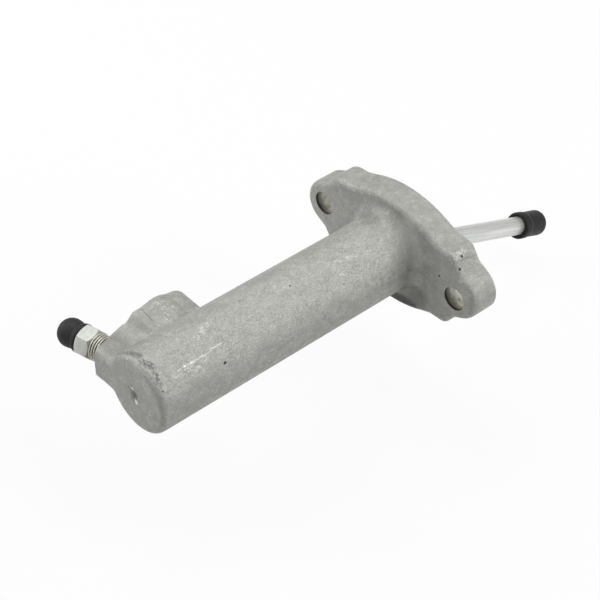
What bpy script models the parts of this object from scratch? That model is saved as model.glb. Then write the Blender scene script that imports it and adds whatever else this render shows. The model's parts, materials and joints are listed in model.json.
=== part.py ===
"""Clutch slave cylinder with a two-ear flange, a bleed screw and a hanging push rod.

Metres, +Z up. The origin is on the bore's axis in the mounting face. +X runs out of the
mouth along the piston's stroke, and +Y points to the side with the port and bleed screw.
"""

import math

import bmesh
import bpy
from mathutils import Quaternion, Vector

# Barrel and bore
BARREL_RADIUS = 0.0145
BARREL_LENGTH = 0.1232
END_ROUNDING = 0.0023
END_WALL = 0.0062
BORE_RADIUS = 0.0095
CENTRE_DIMPLE_RADIUS = 0.0014
CENTRE_DIMPLE_DEPTH = 0.0011

# Flange
FLANGE_THICKNESS = 0.0110
FLANGE_HALF_HEIGHT = 0.0212
FLANGE_ARC_RADIUS = 0.0440
FLANGE_ARC_END = 0.0180
FLANGE_EDGE_ROUNDING = 0.0022
OUTLINE_TURN = math.radians(1.8)
FLARE_RADIUS = 0.0044
BOLT_SPACING = 0.0655
BOLT_HOLE_RADIUS = 0.0045
EAR_RADIUS = 0.0092
KNUCKLE_START = (0.0222, 0.0158)
KNUCKLE_CORNER = (0.0290, 0.0155)
KNUCKLE_ROUNDING = 0.0026
NOTCH_CORNER = (0.0326, 0.0104)
NOTCH_ROUNDING = 0.0020

# Mouth, from the mounting face inwards
MOUTH_RADIUS = 0.0108
MOUTH_CHAMFER = 0.0005
RING_DEPTH = 0.0022
RING_THICKNESS = 0.0011
WASHER_THICKNESS = 0.0010
GROOVE_RADIUS = 0.0116
WASHER_INNER_RADIUS = 0.0081
RING_BAND_RADIUS = 0.0092
RING_LUG_RADIUS = 0.0086
RING_EYE_RADIUS = 0.0006

# Side block with the bleed screw and the port, with its lengths from the closed end
BLOCK_BOTTOM = -0.0077
BLOCK_FACE_Y = 0.0240
BOSS_END_TOP = 0.0031
BOSS_TOP = 0.0058
BOSS_SHOULDER_RADIUS = 0.0030
BOSS_OVERLAP = 0.0040
PAD_FOOT = 0.0150
PAD_FOOT_TOP = 0.0050
PAD_BACK = 0.0180
PAD_BACK_TOP = 0.0084
PAD_CREASE = 0.0209
PAD_CREST_START = 0.0244
PAD_CREST_START_TOP = 0.0094
PAD_CREST = 0.0270
PAD_CREST_TOP = 0.0098
PAD_CREST_END = 0.0295
PAD_CREST_END_TOP = 0.0093
PAD_ROUNDING = 0.0014
PORT_SETBACK = 0.0322
PORT_BOSS_RADIUS = 0.0083
PORT_THREAD_RADIUS = 0.0053
PORT_THREAD_DEPTH = 0.0100
PORT_PASSAGE_RADIUS = 0.0016
PASSAGE_OVERRUN = 0.0024

# Bleed screw: a point of its seat face, its direction, and lengths along its own axis
BLEED_SETBACK = 0.0062
BLEED_FACE_Y = 0.0224
BLEED_FACE_Z = -0.0015
BLEED_TURN_BACK = math.radians(10.2)
BLEED_DROOP = math.radians(5.0)
BLEED_HOLE_RADIUS = 0.0052
BLEED_HOLE_DEPTH = 0.0090
BLEED_PASSAGE_RADIUS = 0.0014
DRILL_POINT = math.radians(59)
SCREW_RADIUS = 0.0049
SCREW_THREAD_END = -0.0055
SCREW_NECK_RADIUS = 0.0034
SCREW_BORE_RADIUS = 0.0009
SCREW_BORE_END = -0.0088
CROSS_BORE_RADIUS = 0.0007
CROSS_BORE_PLACE = -0.0076
HEX_ACROSS_FLATS = 0.0100
HEX_BASE = 0.0045
HEX_TOP = 0.0105
HEX_TURN = math.radians(20)
NIPPLE_NECK_RADIUS = 0.0026
NIPPLE_BARB_RADIUS = 0.0033
NIPPLE_TOP = 0.0175
BLEED_CAP_RADIUS = 0.0051
BLEED_CAP_WAIST_RADIUS = 0.0047
BLEED_CAP_LIP_RADIUS = 0.0052
BLEED_CAP_LENGTH = 0.0100
BLEED_CAP_DOME = 0.0046

# Push rod, with lengths from the ball's centre
ROD_PIVOT_X = -0.0102
ROD_DROOP = math.radians(21.3)
ROD_RADIUS = 0.00355
ROD_LENGTH = 0.0886
BALL_RADIUS = 0.0052
NECK_RADIUS = 0.0025
NECK_END = 0.0080
ROD_CAP_COVER = 0.0108
ROD_CAP_LENGTH = 0.0144
ROD_CAP_RADIUS = 0.0050
ROD_CAP_BEAD_RADIUS = 0.0052
ROD_CAP_ROUNDING = 0.0026

# Piston, clip, seals and spring
PISTON_RADIUS = 0.0092
PISTON_LENGTH = 0.0300
PISTON_LAND = 0.0040
PISTON_WAIST_RADIUS = 0.0077
PISTON_DIMPLE_RADIUS = 0.0016
PISTON_DIMPLE_DEPTH = 0.0010
SEAL_SETBACK = 0.0075
CLIP_THICKNESS = 0.0008
CLIP_INNER_RADIUS = 0.00455
CLIP_OUTER_RADIUS = 0.0069
CLIP_OFFSET = 0.0030
CLIP_LIP_RADIUS = 0.0064
SEAL_GROOVE_RADIUS = 0.0072
SEAL_WIDTH = 0.0032
SEAL_RADIUS = 0.00925
CUP_BASE = 0.0024
CUP_LENGTH = 0.0052
SEAT_RADIUS = 0.0074
SEAT_THICKNESS = 0.0008
SEAT_COLLAR_RADIUS = 0.0058
SEAT_COLLAR_LENGTH = 0.0042
SPRING_RADIUS = 0.0069
SPRING_WIRE_RADIUS = 0.00065
SPRING_TURNS = 12

# Clearance between neighbouring pieces
GAP = 0.0003

# Facets of the round shapes
BODY_FACETS = 48
BORE_FACETS = 36
SMALL_FACETS = 28
ARC_STEPS = 5

# Worked out from the sizes above
CLOSED_END_X = -BARREL_LENGTH
PORT_X = CLOSED_END_X + PORT_SETBACK
BLEED_FACE_POINT = Vector((CLOSED_END_X + BLEED_SETBACK, BLEED_FACE_Y, BLEED_FACE_Z))
BLEED_CAP_START = HEX_TOP + GAP
ROD_CAP_MOUTH = ROD_LENGTH - ROD_CAP_COVER
BORE_END_X = CLOSED_END_X + END_WALL
BOLT_Y = BOLT_SPACING / 2
GROOVE_FRONT_X = -RING_DEPTH
GROOVE_BACK_X = GROOVE_FRONT_X - RING_THICKNESS - 2 * GAP
WASHER_BACK_X = GROOVE_BACK_X - WASHER_THICKNESS
MOUTH_BACK_X = WASHER_BACK_X - GAP
PISTON_FRONT_X = MOUTH_BACK_X
PISTON_BACK_X = PISTON_FRONT_X - PISTON_LENGTH
SOCKET_RADIUS = BALL_RADIUS + GAP
CUP_FRONT_X = PISTON_BACK_X - GAP
SEAT_FRONT_X = CUP_FRONT_X - CUP_BASE - GAP
SPRING_FRONT_X = SEAT_FRONT_X - SEAT_THICKNESS - GAP
ROD_DIRECTION = Vector((math.cos(ROD_DROOP), 0, -math.sin(ROD_DROOP)))
BLEED_DIRECTION = Vector((
    -math.sin(BLEED_TURN_BACK) * math.cos(BLEED_DROOP),
    math.cos(BLEED_TURN_BACK) * math.cos(BLEED_DROOP),
    -math.sin(BLEED_DROOP),
))


def clear_scene():
    """Remove every object that the file opened with."""
    for obj in list(bpy.data.objects):
        bpy.data.objects.remove(obj)


def make_collection(name):
    """A collection linked to the scene."""
    collection = bpy.data.collections.new(name)
    bpy.context.scene.collection.children.link(collection)
    return collection


clear_scene()
PARTS = make_collection("clutch_slave_cylinder")
HELPERS = make_collection("cutters_and_joiners")


def make_material(name, colour, roughness, metallic):
    """A Principled material."""
    material = bpy.data.materials.new(name)
    material.use_nodes = True
    shader = material.node_tree.nodes["Principled BSDF"]
    shader.inputs["Base Color"].default_value = (*colour, 1)
    shader.inputs["Roughness"].default_value = roughness
    shader.inputs["Metallic"].default_value = metallic
    return material


def add_object(name, data, helper=False):
    """An object in the parts collection, or a hidden one in the helpers'."""
    obj = bpy.data.objects.new(name, data)
    (HELPERS if helper else PARTS).objects.link(obj)
    if helper:
        obj.hide_render = True
        obj.display_type = "WIRE"
    return obj


def point_along(obj, location, direction):
    """Place an object with its own Z along a direction."""
    obj.location = location
    obj.rotation_euler = Vector(direction).to_track_quat("Z", "Y").to_euler()
    return obj


def bake(obj):
    """Replace an object's mesh by its evaluated mesh, with no modifiers left."""
    bpy.context.view_layer.update()
    graph = bpy.context.evaluated_depsgraph_get()
    mesh = bpy.data.meshes.new_from_object(obj.evaluated_get(graph))
    obj.modifiers.clear()
    obj.data = mesh


def turned(name, profile, facets, closed=False, helper=False):
    """A solid turned about its own Z from (radius, height) points down its outer side.

    A closed profile is the section of a ring.
    """
    mesh = bpy.data.meshes.new(name)
    points = [(radius, 0, height) for radius, height in profile]
    edges = [(i, i + 1) for i in range(len(points) - 1)]
    if closed:
        edges.append((len(points) - 1, 0))
    mesh.from_pydata(points, edges, [])
    obj = add_object(name, mesh, helper)
    screw = obj.modifiers.new("turn", "SCREW")
    screw.axis = "Z"
    screw.angle = 2 * math.pi
    screw.steps = facets
    screw.render_steps = facets
    screw.use_merge_vertices = True
    screw.merge_threshold = 0.00001
    return obj


def turned_on_bore(name, profile, facets, closed=False, helper=False):
    """A solid turned about the bore's axis from (x, radius) points, +X end first."""
    obj = turned(name, [(radius, x) for x, radius in profile], facets, closed, helper)
    obj.rotation_euler = (0, math.pi / 2, 0)
    return obj


def cylinder_along(name, start, direction, radius, length, facets):
    """A hidden cylinder primitive from a start point along a direction."""
    work = bmesh.new()
    bmesh.ops.create_cone(
        work, cap_ends=True, segments=facets, radius1=radius, radius2=radius, depth=length
    )
    bmesh.ops.translate(work, verts=work.verts, vec=(0, 0, length / 2))
    mesh = bpy.data.meshes.new(name)
    work.to_mesh(mesh)
    work.free()
    return point_along(add_object(name, mesh, helper=True), start, direction)


def box(name, low, high):
    """A hidden box primitive between two corners."""
    work = bmesh.new()
    bmesh.ops.create_cube(work, size=1)
    mesh = bpy.data.meshes.new(name)
    work.to_mesh(mesh)
    work.free()
    obj = add_object(name, mesh, helper=True)
    obj.location = (Vector(low) + Vector(high)) / 2
    obj.scale = Vector(high) - Vector(low)
    return obj


def boolean(obj, other, operation):
    """Join, cut or trim an object with a helper."""
    modifier = obj.modifiers.new(other.name, "BOOLEAN")
    modifier.operation = operation
    modifier.object = other
    modifier.solver = "EXACT"


def finish(obj, material):
    """Bake, colour and shade a finished piece."""
    bake(obj)
    obj.data.materials.clear()
    obj.data.materials.append(material)
    obj.data.shade_smooth()
    obj.data.set_sharp_from_angle(angle=math.radians(32))
    return obj


def arc(centre, radius, start, end, steps=ARC_STEPS):
    """Points on an arc between two angles in radians."""
    points = []
    for i in range(steps + 1):
        angle = start + (end - start) * i / steps
        points.append((centre[0] + radius * math.cos(angle), centre[1] + radius * math.sin(angle)))
    return points


def rounded_corner(before, corner, after, radius, steps=4):
    """Points of the arc that rounds one corner of an outline."""
    corner = Vector(corner)
    back = (Vector(before) - corner).normalized()
    ahead = (Vector(after) - corner).normalized()
    half_angle = back.angle(ahead) / 2
    setback = radius / math.tan(half_angle)
    centre = corner + (back + ahead).normalized() * radius / math.sin(half_angle)
    first = corner + back * setback - centre
    last = corner + ahead * setback - centre
    start = math.atan2(first.y, first.x)
    sweep = math.atan2(last.y, last.x) - start
    sweep = (sweep + math.pi) % (2 * math.pi) - math.pi
    return arc(centre, radius, start, start + sweep, steps)


def prism(name, outline, place, helper=False):
    """A prism between place(u, v, 0) and place(u, v, 1) of a flat outline's points."""
    work = bmesh.new()
    low = [work.verts.new(place(u, v, 0)) for u, v in outline]
    high = [work.verts.new(place(u, v, 1)) for u, v in outline]
    work.faces.new(low)
    work.faces.new(list(reversed(high)))
    count = len(outline)
    for i in range(count):
        after = (i + 1) % count
        work.faces.new((low[after], low[i], high[i], high[after]))
    bmesh.ops.recalc_face_normals(work, faces=work.faces)
    mesh = bpy.data.meshes.new(name)
    work.to_mesh(mesh)
    work.free()
    return add_object(name, mesh, helper)


def flange_quarter():
    """Outline points (y, z) of the flange from its top middle to the ear's far point."""
    centre_z = FLANGE_HALF_HEIGHT - FLANGE_ARC_RADIUS
    end_angle = math.acos(FLANGE_ARC_END / FLANGE_ARC_RADIUS)
    points = arc((0, centre_z), FLANGE_ARC_RADIUS, math.pi / 2, end_angle, 4)
    points.append(KNUCKLE_START)
    points += rounded_corner(KNUCKLE_START, KNUCKLE_CORNER, NOTCH_CORNER, KNUCKLE_ROUNDING)
    reach = Vector(NOTCH_CORNER) - Vector((BOLT_Y, 0))
    tangent = math.atan2(reach.y, reach.x) - math.acos(EAR_RADIUS / reach.length)
    touch = (BOLT_Y + EAR_RADIUS * math.cos(tangent), EAR_RADIUS * math.sin(tangent))
    points += rounded_corner(KNUCKLE_CORNER, NOTCH_CORNER, touch, NOTCH_ROUNDING, 3)
    points += arc((BOLT_Y, 0), EAR_RADIUS, tangent, 0, 4)
    return points


def flange_outline():
    """The whole flange outline, mirrored from one quarter and turned a little."""
    quarter = flange_quarter()
    lower = [(y, -z) for y, z in reversed(quarter[:-1])]
    half = quarter + lower
    other = [(-y, z) for y, z in reversed(half[1:-1])]
    cos = math.cos(OUTLINE_TURN)
    sin = math.sin(OUTLINE_TURN)
    return [(y * cos + z * sin, z * cos - y * sin) for y, z in half + other]


def make_flange():
    """The flange plate with its mounting face at x = 0 and its near edge rounded."""
    def place(y, z, far):
        return (-FLANGE_THICKNESS * (1 - far), y, z)

    flange = prism("cylinder_body", flange_outline(), place)
    mesh = flange.data
    weights = mesh.attributes.new("bevel_weight_edge", "FLOAT", "EDGE")
    for edge in mesh.edges:
        near = all(abs(mesh.vertices[v].co.x + FLANGE_THICKNESS) < 1e-6 for v in edge.vertices)
        weights.data[edge.index].value = 1.0 if near else 0.0
    bevel = flange.modifiers.new("cast edge", "BEVEL")
    bevel.limit_method = "WEIGHT"
    bevel.width = FLANGE_EDGE_ROUNDING
    bevel.segments = 3
    bevel.use_clamp_overlap = False
    return flange


def make_barrel():
    """The barrel with its rounded closed end, centre dimple and flare into the flange."""
    flare_outer = BARREL_RADIUS + FLARE_RADIUS
    profile = [(-0.004, 0), (-0.004, flare_outer), (-FLANGE_THICKNESS + 0.0001, flare_outer)]
    flare_centre = (-FLANGE_THICKNESS - FLARE_RADIUS, flare_outer)
    profile += arc(flare_centre, FLARE_RADIUS, 0, -math.pi / 2)[1:]
    edge_centre = (CLOSED_END_X + END_ROUNDING, BARREL_RADIUS - END_ROUNDING)
    profile += arc(edge_centre, END_ROUNDING, math.pi / 2, math.pi, 4)
    profile.append((CLOSED_END_X, CENTRE_DIMPLE_RADIUS))
    profile.append((CLOSED_END_X + CENTRE_DIMPLE_DEPTH, 0))
    return turned_on_bore("barrel", profile, BODY_FACETS, helper=True)


def make_boss():
    """The bleed screw's boss, flush with the closed end and cut square to the screw."""
    shoulder_end = (CLOSED_END_X + PAD_FOOT + BOSS_OVERLAP, BOSS_TOP)
    outline = [(CLOSED_END_X, BLOCK_BOTTOM)]
    outline += rounded_corner(
        (CLOSED_END_X, BLOCK_BOTTOM), (CLOSED_END_X, BOSS_END_TOP), shoulder_end,
        BOSS_SHOULDER_RADIUS,
    )
    outline.append(shoulder_end)
    outline.append((shoulder_end[0], BLOCK_BOTTOM))
    lean = math.tan(BLEED_DROOP)

    def place(x, z, far):
        y = (BLOCK_FACE_Y - 0.0001) * far + 0.001
        return (x, y, z - (y - BLEED_FACE_POINT.y) * lean)

    boss = prism("bleed_boss", outline, place, helper=True)
    beyond = cylinder_along(
        "boss_face_cutter", BLEED_FACE_POINT, BLEED_DIRECTION, 0.016, 0.02, 6
    )
    boolean(boss, beyond, "DIFFERENCE")
    return boss


def make_pad():
    """The taller pad between the bleed screw's boss and the port's boss."""
    foot = (CLOSED_END_X + PAD_FOOT, PAD_FOOT_TOP)
    corner = (CLOSED_END_X + PAD_BACK, PAD_BACK_TOP)
    crease = (CLOSED_END_X + PAD_CREASE, PAD_BACK_TOP)
    outline = [(foot[0], BLOCK_BOTTOM), foot]
    outline += rounded_corner(foot, corner, crease, PAD_ROUNDING)
    outline.append(crease)
    outline.append((CLOSED_END_X + PAD_CREST_START, PAD_CREST_START_TOP))
    outline.append((CLOSED_END_X + PAD_CREST, PAD_CREST_TOP))
    outline.append((CLOSED_END_X + PAD_CREST_END, PAD_CREST_END_TOP))
    outline.append((PORT_X, PORT_BOSS_RADIUS - 0.0001))
    outline.append((PORT_X, BLOCK_BOTTOM))

    def place(x, z, far):
        return (x, BLOCK_FACE_Y * far + 0.0005 * (1 - far), z)

    return prism("pad", outline, place, helper=True)


def make_bore_cutter():
    """The stepped bore with the ring groove, the washer's seat and the mouth's chamfer."""
    profile = [
        (MOUTH_CHAMFER, 0),
        (MOUTH_CHAMFER, MOUTH_RADIUS + 2 * MOUTH_CHAMFER),
        (-MOUTH_CHAMFER, MOUTH_RADIUS),
        (GROOVE_FRONT_X, MOUTH_RADIUS),
        (GROOVE_FRONT_X, GROOVE_RADIUS),
        (GROOVE_BACK_X, GROOVE_RADIUS),
        (GROOVE_BACK_X, MOUTH_RADIUS),
        (MOUTH_BACK_X, MOUTH_RADIUS),
        (MOUTH_BACK_X, BORE_RADIUS + 0.0004),
        (MOUTH_BACK_X - 0.0006, BORE_RADIUS),
        (BORE_END_X + 0.0008, BORE_RADIUS),
        (BORE_END_X, BORE_RADIUS - 0.0010),
        (BORE_END_X, 0),
    ]
    return turned_on_bore("bore_cutter", profile, BORE_FACETS, helper=True)


def make_bleed_cutter():
    """The bleed screw's threaded hole, its conical seat and the passage to the bore."""
    seat = BLEED_HOLE_DEPTH + (BLEED_HOLE_RADIUS - BLEED_PASSAGE_RADIUS) / math.tan(DRILL_POINT)
    passage_end = BLEED_FACE_Y - BORE_RADIUS + PASSAGE_OVERRUN
    profile = [
        (0, 0.002),
        (BLEED_HOLE_RADIUS, 0.002),
        (BLEED_HOLE_RADIUS, -BLEED_HOLE_DEPTH),
        (BLEED_PASSAGE_RADIUS, -seat),
        (BLEED_PASSAGE_RADIUS, -passage_end),
        (0, -passage_end),
    ]
    cutter = turned("bleed_hole_cutter", profile, SMALL_FACETS, helper=True)
    return point_along(cutter, BLEED_FACE_POINT, BLEED_DIRECTION)


def make_port_cutter():
    """The inlet port's threaded hole, drill point and passage to the bore."""
    cone = (PORT_THREAD_RADIUS - PORT_PASSAGE_RADIUS) / math.tan(DRILL_POINT)
    passage_end = BLOCK_FACE_Y - BORE_RADIUS + PASSAGE_OVERRUN
    profile = [
        (0, 0.001),
        (PORT_THREAD_RADIUS + 0.0014, 0.001),
        (PORT_THREAD_RADIUS, -0.0006),
        (PORT_THREAD_RADIUS, -PORT_THREAD_DEPTH),
        (PORT_PASSAGE_RADIUS, -PORT_THREAD_DEPTH - cone),
        (PORT_PASSAGE_RADIUS, -passage_end),
        (0, -passage_end),
    ]
    cutter = turned("port_cutter", profile, SMALL_FACETS, helper=True)
    return point_along(cutter, (PORT_X, BLOCK_FACE_Y, 0), (0, 1, 0))


def make_body(material):
    """The casting: barrel, flange and side block in one piece, with its machined holes."""
    body = make_flange()
    boolean(body, make_barrel(), "UNION")
    boolean(body, make_boss(), "UNION")
    boolean(body, make_pad(), "UNION")
    port_boss = cylinder_along(
        "port_boss", (PORT_X, 0.0003, 0), (0, 1, 0), PORT_BOSS_RADIUS, BLOCK_FACE_Y - 0.0003, 32
    )
    boolean(body, port_boss, "UNION")
    boolean(body, make_bore_cutter(), "DIFFERENCE")
    boolean(body, make_bleed_cutter(), "DIFFERENCE")
    boolean(body, make_port_cutter(), "DIFFERENCE")
    for side, y in (("left", BOLT_Y), ("right", -BOLT_Y)):
        hole = cylinder_along(
            "bolt_hole_cutter_" + side, (-FLANGE_THICKNESS - 0.002, y, 0), (1, 0, 0),
            BOLT_HOLE_RADIUS, FLANGE_THICKNESS + 0.004, 32,
        )
        boolean(body, hole, "DIFFERENCE")
    return finish(body, material)


def make_bleed_screw(material):
    """The bleed screw: threaded shank with a cone seat, hexagon and hose nipple."""
    apex = -BLEED_HOLE_DEPTH - BLEED_HOLE_RADIUS / math.tan(DRILL_POINT)
    apex += GAP / math.sin(DRILL_POINT)
    tip_radius = SCREW_BORE_RADIUS + 0.0002
    profile = [
        (0, NIPPLE_TOP),
        (NIPPLE_NECK_RADIUS - 0.0005, NIPPLE_TOP),
        (NIPPLE_BARB_RADIUS, NIPPLE_TOP - 0.0024),
        (NIPPLE_BARB_RADIUS, NIPPLE_TOP - 0.0030),
        (NIPPLE_NECK_RADIUS, NIPPLE_TOP - 0.0036),
        (NIPPLE_NECK_RADIUS, HEX_TOP - 0.0005),
        (NIPPLE_NECK_RADIUS, HEX_BASE + 0.0010),
        (SCREW_RADIUS - 0.0002, HEX_BASE + 0.0010),
        (SCREW_RADIUS, HEX_BASE - 0.0005),
        (SCREW_RADIUS, SCREW_THREAD_END + 0.0006),
        (SCREW_RADIUS - 0.0006, SCREW_THREAD_END),
        (SCREW_NECK_RADIUS, SCREW_THREAD_END),
        (SCREW_NECK_RADIUS, apex + SCREW_NECK_RADIUS / math.tan(DRILL_POINT)),
        (tip_radius, apex + tip_radius / math.tan(DRILL_POINT)),
        (0, apex + tip_radius / math.tan(DRILL_POINT)),
    ]
    screw = turned("bleed_screw", profile, SMALL_FACETS)
    point_along(screw, BLEED_FACE_POINT, BLEED_DIRECTION)

    corner_radius = HEX_ACROSS_FLATS / 2 / math.cos(math.pi / 6)
    hexagon = cylinder_along(
        "hexagon", BLEED_FACE_POINT + BLEED_DIRECTION * HEX_BASE, BLEED_DIRECTION,
        corner_radius, HEX_TOP - HEX_BASE, 6,
    )
    turn = Quaternion((0, 0, 1), HEX_TURN)
    hexagon.rotation_euler = (BLEED_DIRECTION.to_track_quat("Z", "Y") @ turn).to_euler()
    chamfer = [
        (0, HEX_TOP + 0.0002),
        (HEX_ACROSS_FLATS / 2 - 0.0003, HEX_TOP + 0.0002),
        (corner_radius + 0.0006, HEX_TOP - 0.0008),
        (corner_radius + 0.0006, HEX_BASE + 0.0014),
        (HEX_ACROSS_FLATS / 2 - 0.0003, HEX_BASE - 0.0002),
        (0, HEX_BASE - 0.0002),
    ]
    envelope = turned("hexagon_envelope", chamfer, SMALL_FACETS, helper=True)
    point_along(envelope, BLEED_FACE_POINT, BLEED_DIRECTION)
    boolean(hexagon, envelope, "INTERSECT")
    boolean(screw, hexagon, "UNION")
    axial = cylinder_along(
        "screw_bore_cutter", BLEED_FACE_POINT + BLEED_DIRECTION * SCREW_BORE_END, BLEED_DIRECTION,
        SCREW_BORE_RADIUS, NIPPLE_TOP - SCREW_BORE_END + 0.002, 12,
    )
    boolean(screw, axial, "DIFFERENCE")
    across = BLEED_DIRECTION.cross(Vector((0, 0, 1))).normalized()
    middle = BLEED_FACE_POINT + BLEED_DIRECTION * CROSS_BORE_PLACE
    cross = cylinder_along(
        "cross_bore_cutter", middle - across * SCREW_RADIUS, across,
        CROSS_BORE_RADIUS, 2 * SCREW_RADIUS, 10,
    )
    boolean(screw, cross, "DIFFERENCE")
    return finish(screw, material)


def make_bleed_cap(material):
    """The rubber cap over the nipple: a lipped cup with a domed end."""
    top = BLEED_CAP_START + BLEED_CAP_LENGTH
    cavity_radius = NIPPLE_BARB_RADIUS + GAP
    dome_centre = (BLEED_CAP_RADIUS - BLEED_CAP_DOME, top - BLEED_CAP_DOME)
    profile = [(0, top)]
    profile += arc(dome_centre, BLEED_CAP_DOME, math.pi / 2, 0)
    profile += [
        (BLEED_CAP_RADIUS - 0.0001, BLEED_CAP_START + 0.0042),
        (BLEED_CAP_WAIST_RADIUS, BLEED_CAP_START + 0.0024),
        (BLEED_CAP_WAIST_RADIUS, BLEED_CAP_START + 0.0016),
        (BLEED_CAP_LIP_RADIUS, BLEED_CAP_START + 0.0011),
        (BLEED_CAP_LIP_RADIUS, BLEED_CAP_START + 0.0003),
        (BLEED_CAP_LIP_RADIUS - 0.0003, BLEED_CAP_START),
        (cavity_radius, BLEED_CAP_START),
        (cavity_radius, NIPPLE_TOP - 0.0010),
        (cavity_radius - 0.0008, NIPPLE_TOP + GAP),
        (0, NIPPLE_TOP + GAP),
    ]
    cap = turned("bleed_cap", profile, SMALL_FACETS)
    point_along(cap, BLEED_FACE_POINT, BLEED_DIRECTION)
    return finish(cap, material)


def make_push_rod(material):
    """The push rod, turned about its own Z from the ball's centre, with its ball end."""
    neck_meets_ball = math.asin(NECK_RADIUS / BALL_RADIUS)
    profile = [
        (0, ROD_LENGTH),
        (ROD_RADIUS - 0.0008, ROD_LENGTH),
        (ROD_RADIUS, ROD_LENGTH - 0.0008),
        (ROD_RADIUS, NECK_END + 0.0016),
        (NECK_RADIUS, NECK_END),
    ]
    profile += arc((0, 0), BALL_RADIUS, math.pi / 2 - neck_meets_ball, -math.pi / 2, 12)[:-1]
    profile.append((0, -BALL_RADIUS))
    rod = turned("push_rod", profile, SMALL_FACETS)
    point_along(rod, (ROD_PIVOT_X, 0, 0), ROD_DIRECTION)
    return finish(rod, material)


def make_rod_cap(material):
    """The plastic cap on the rod's free end, with a bead round its mouth."""
    end = ROD_CAP_MOUTH + ROD_CAP_LENGTH
    cavity_radius = ROD_RADIUS + GAP
    profile = [(0, end)]
    edge_centre = (ROD_CAP_RADIUS - ROD_CAP_ROUNDING, end - ROD_CAP_ROUNDING)
    profile += arc(edge_centre, ROD_CAP_ROUNDING, math.pi / 2, 0, 4)
    profile += [
        (ROD_CAP_RADIUS - 0.0001, ROD_CAP_MOUTH + 0.0040),
        (ROD_CAP_BEAD_RADIUS, ROD_CAP_MOUTH + 0.0030),
        (ROD_CAP_BEAD_RADIUS, ROD_CAP_MOUTH + 0.0004),
        (ROD_CAP_BEAD_RADIUS - 0.0004, ROD_CAP_MOUTH),
        (cavity_radius, ROD_CAP_MOUTH),
        (cavity_radius, ROD_LENGTH - 0.0004),
        (cavity_radius - 0.0006, ROD_LENGTH + GAP),
        (0, ROD_LENGTH + GAP),
    ]
    cap = turned("push_rod_cap", profile, SMALL_FACETS)
    point_along(cap, (ROD_PIVOT_X, 0, 0), ROD_DIRECTION)
    return finish(cap, material)


def make_piston(material):
    """The piston, with the ball's socket in front and the secondary seal's groove behind."""
    pivot = (ROD_PIVOT_X, 0)
    groove_front = ROD_PIVOT_X + CLIP_OFFSET + CLIP_THICKNESS + GAP
    groove_back = ROD_PIVOT_X + CLIP_OFFSET - GAP
    mouth_angle = math.acos((CLIP_OFFSET - GAP) / SOCKET_RADIUS)
    socket = arc(pivot, SOCKET_RADIUS, math.pi, mouth_angle, 7)
    profile = [(socket[0][0], 0)] + socket[1:]
    groove_radius = CLIP_OUTER_RADIUS + GAP
    seal_back = PISTON_BACK_X + SEAL_SETBACK
    seal_front = seal_back + SEAL_WIDTH + 2 * GAP
    profile += [
        (groove_back, groove_radius),
        (groove_front, groove_radius),
        (groove_front, CLIP_LIP_RADIUS),
        (PISTON_FRONT_X, CLIP_LIP_RADIUS),
        (PISTON_FRONT_X, PISTON_RADIUS - 0.0004),
        (PISTON_FRONT_X - 0.0004, PISTON_RADIUS),
        (PISTON_FRONT_X - PISTON_LAND, PISTON_RADIUS),
        (PISTON_FRONT_X - PISTON_LAND - 0.0010, PISTON_WAIST_RADIUS),
        (seal_front + 0.0030, PISTON_WAIST_RADIUS),
        (seal_front + 0.0020, PISTON_RADIUS),
        (seal_front, PISTON_RADIUS),
        (seal_front, SEAL_GROOVE_RADIUS),
        (seal_back, SEAL_GROOVE_RADIUS),
        (seal_back, PISTON_RADIUS),
        (PISTON_BACK_X + 0.0004, PISTON_RADIUS),
        (PISTON_BACK_X, PISTON_RADIUS - 0.0004),
        (PISTON_BACK_X, PISTON_DIMPLE_RADIUS),
        (PISTON_BACK_X + PISTON_DIMPLE_DEPTH, 0),
    ]
    piston = turned_on_bore("piston", profile, BORE_FACETS)
    return finish(piston, material)


def make_secondary_seal(material):
    """The secondary seal: a ring in the piston's groove, with a lip that leans outwards."""
    back = PISTON_BACK_X + SEAL_SETBACK + GAP
    inner = SEAL_GROOVE_RADIUS + GAP
    section = [
        (back + SEAL_WIDTH, inner),
        (back + SEAL_WIDTH, SEAL_RADIUS - 0.0005),
        (back + 0.0012, SEAL_RADIUS - 0.0002),
        (back, SEAL_RADIUS),
        (back, SEAL_RADIUS - 0.0006),
        (back + 0.0008, inner + 0.0006),
        (back, inner),
    ]
    seal = turned_on_bore("secondary_seal", section, BORE_FACETS, closed=True)
    return finish(seal, material)


def make_rod_clip(material):
    """The spring clip that keeps the ball in its socket: a flat ring with a gap."""
    back = ROD_PIVOT_X + CLIP_OFFSET
    section = [
        (back + CLIP_THICKNESS, CLIP_INNER_RADIUS),
        (back + CLIP_THICKNESS, CLIP_OUTER_RADIUS),
        (back, CLIP_OUTER_RADIUS),
        (back, CLIP_INNER_RADIUS),
    ]
    clip = turned_on_bore("rod_clip", section, SMALL_FACETS, closed=True)
    gap = box("clip_gap_cutter", (back - 0.001, -0.0008, 0.003), (back + 0.002, 0.0008, 0.009))
    boolean(clip, gap, "DIFFERENCE")
    return finish(clip, material)


def make_primary_cup(material):
    """The primary cup: a rubber disc with a sealing lip that opens to the fluid."""
    back = CUP_FRONT_X - CUP_LENGTH
    base = CUP_FRONT_X - CUP_BASE
    profile = [
        (CUP_FRONT_X, 0),
        (CUP_FRONT_X, SEAL_RADIUS - 0.0008),
        (CUP_FRONT_X - 0.0006, SEAL_RADIUS - 0.0003),
        (base - 0.0006, SEAL_RADIUS - 0.0003),
        (back, SEAL_RADIUS),
        (back, SEAL_RADIUS - 0.0008),
        (base - 0.0003, SEAT_RADIUS + GAP),
        (base, SEAT_RADIUS + GAP - 0.0003),
        (base, 0),
    ]
    return finish(turned_on_bore("primary_cup", profile, BORE_FACETS), material)


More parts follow.
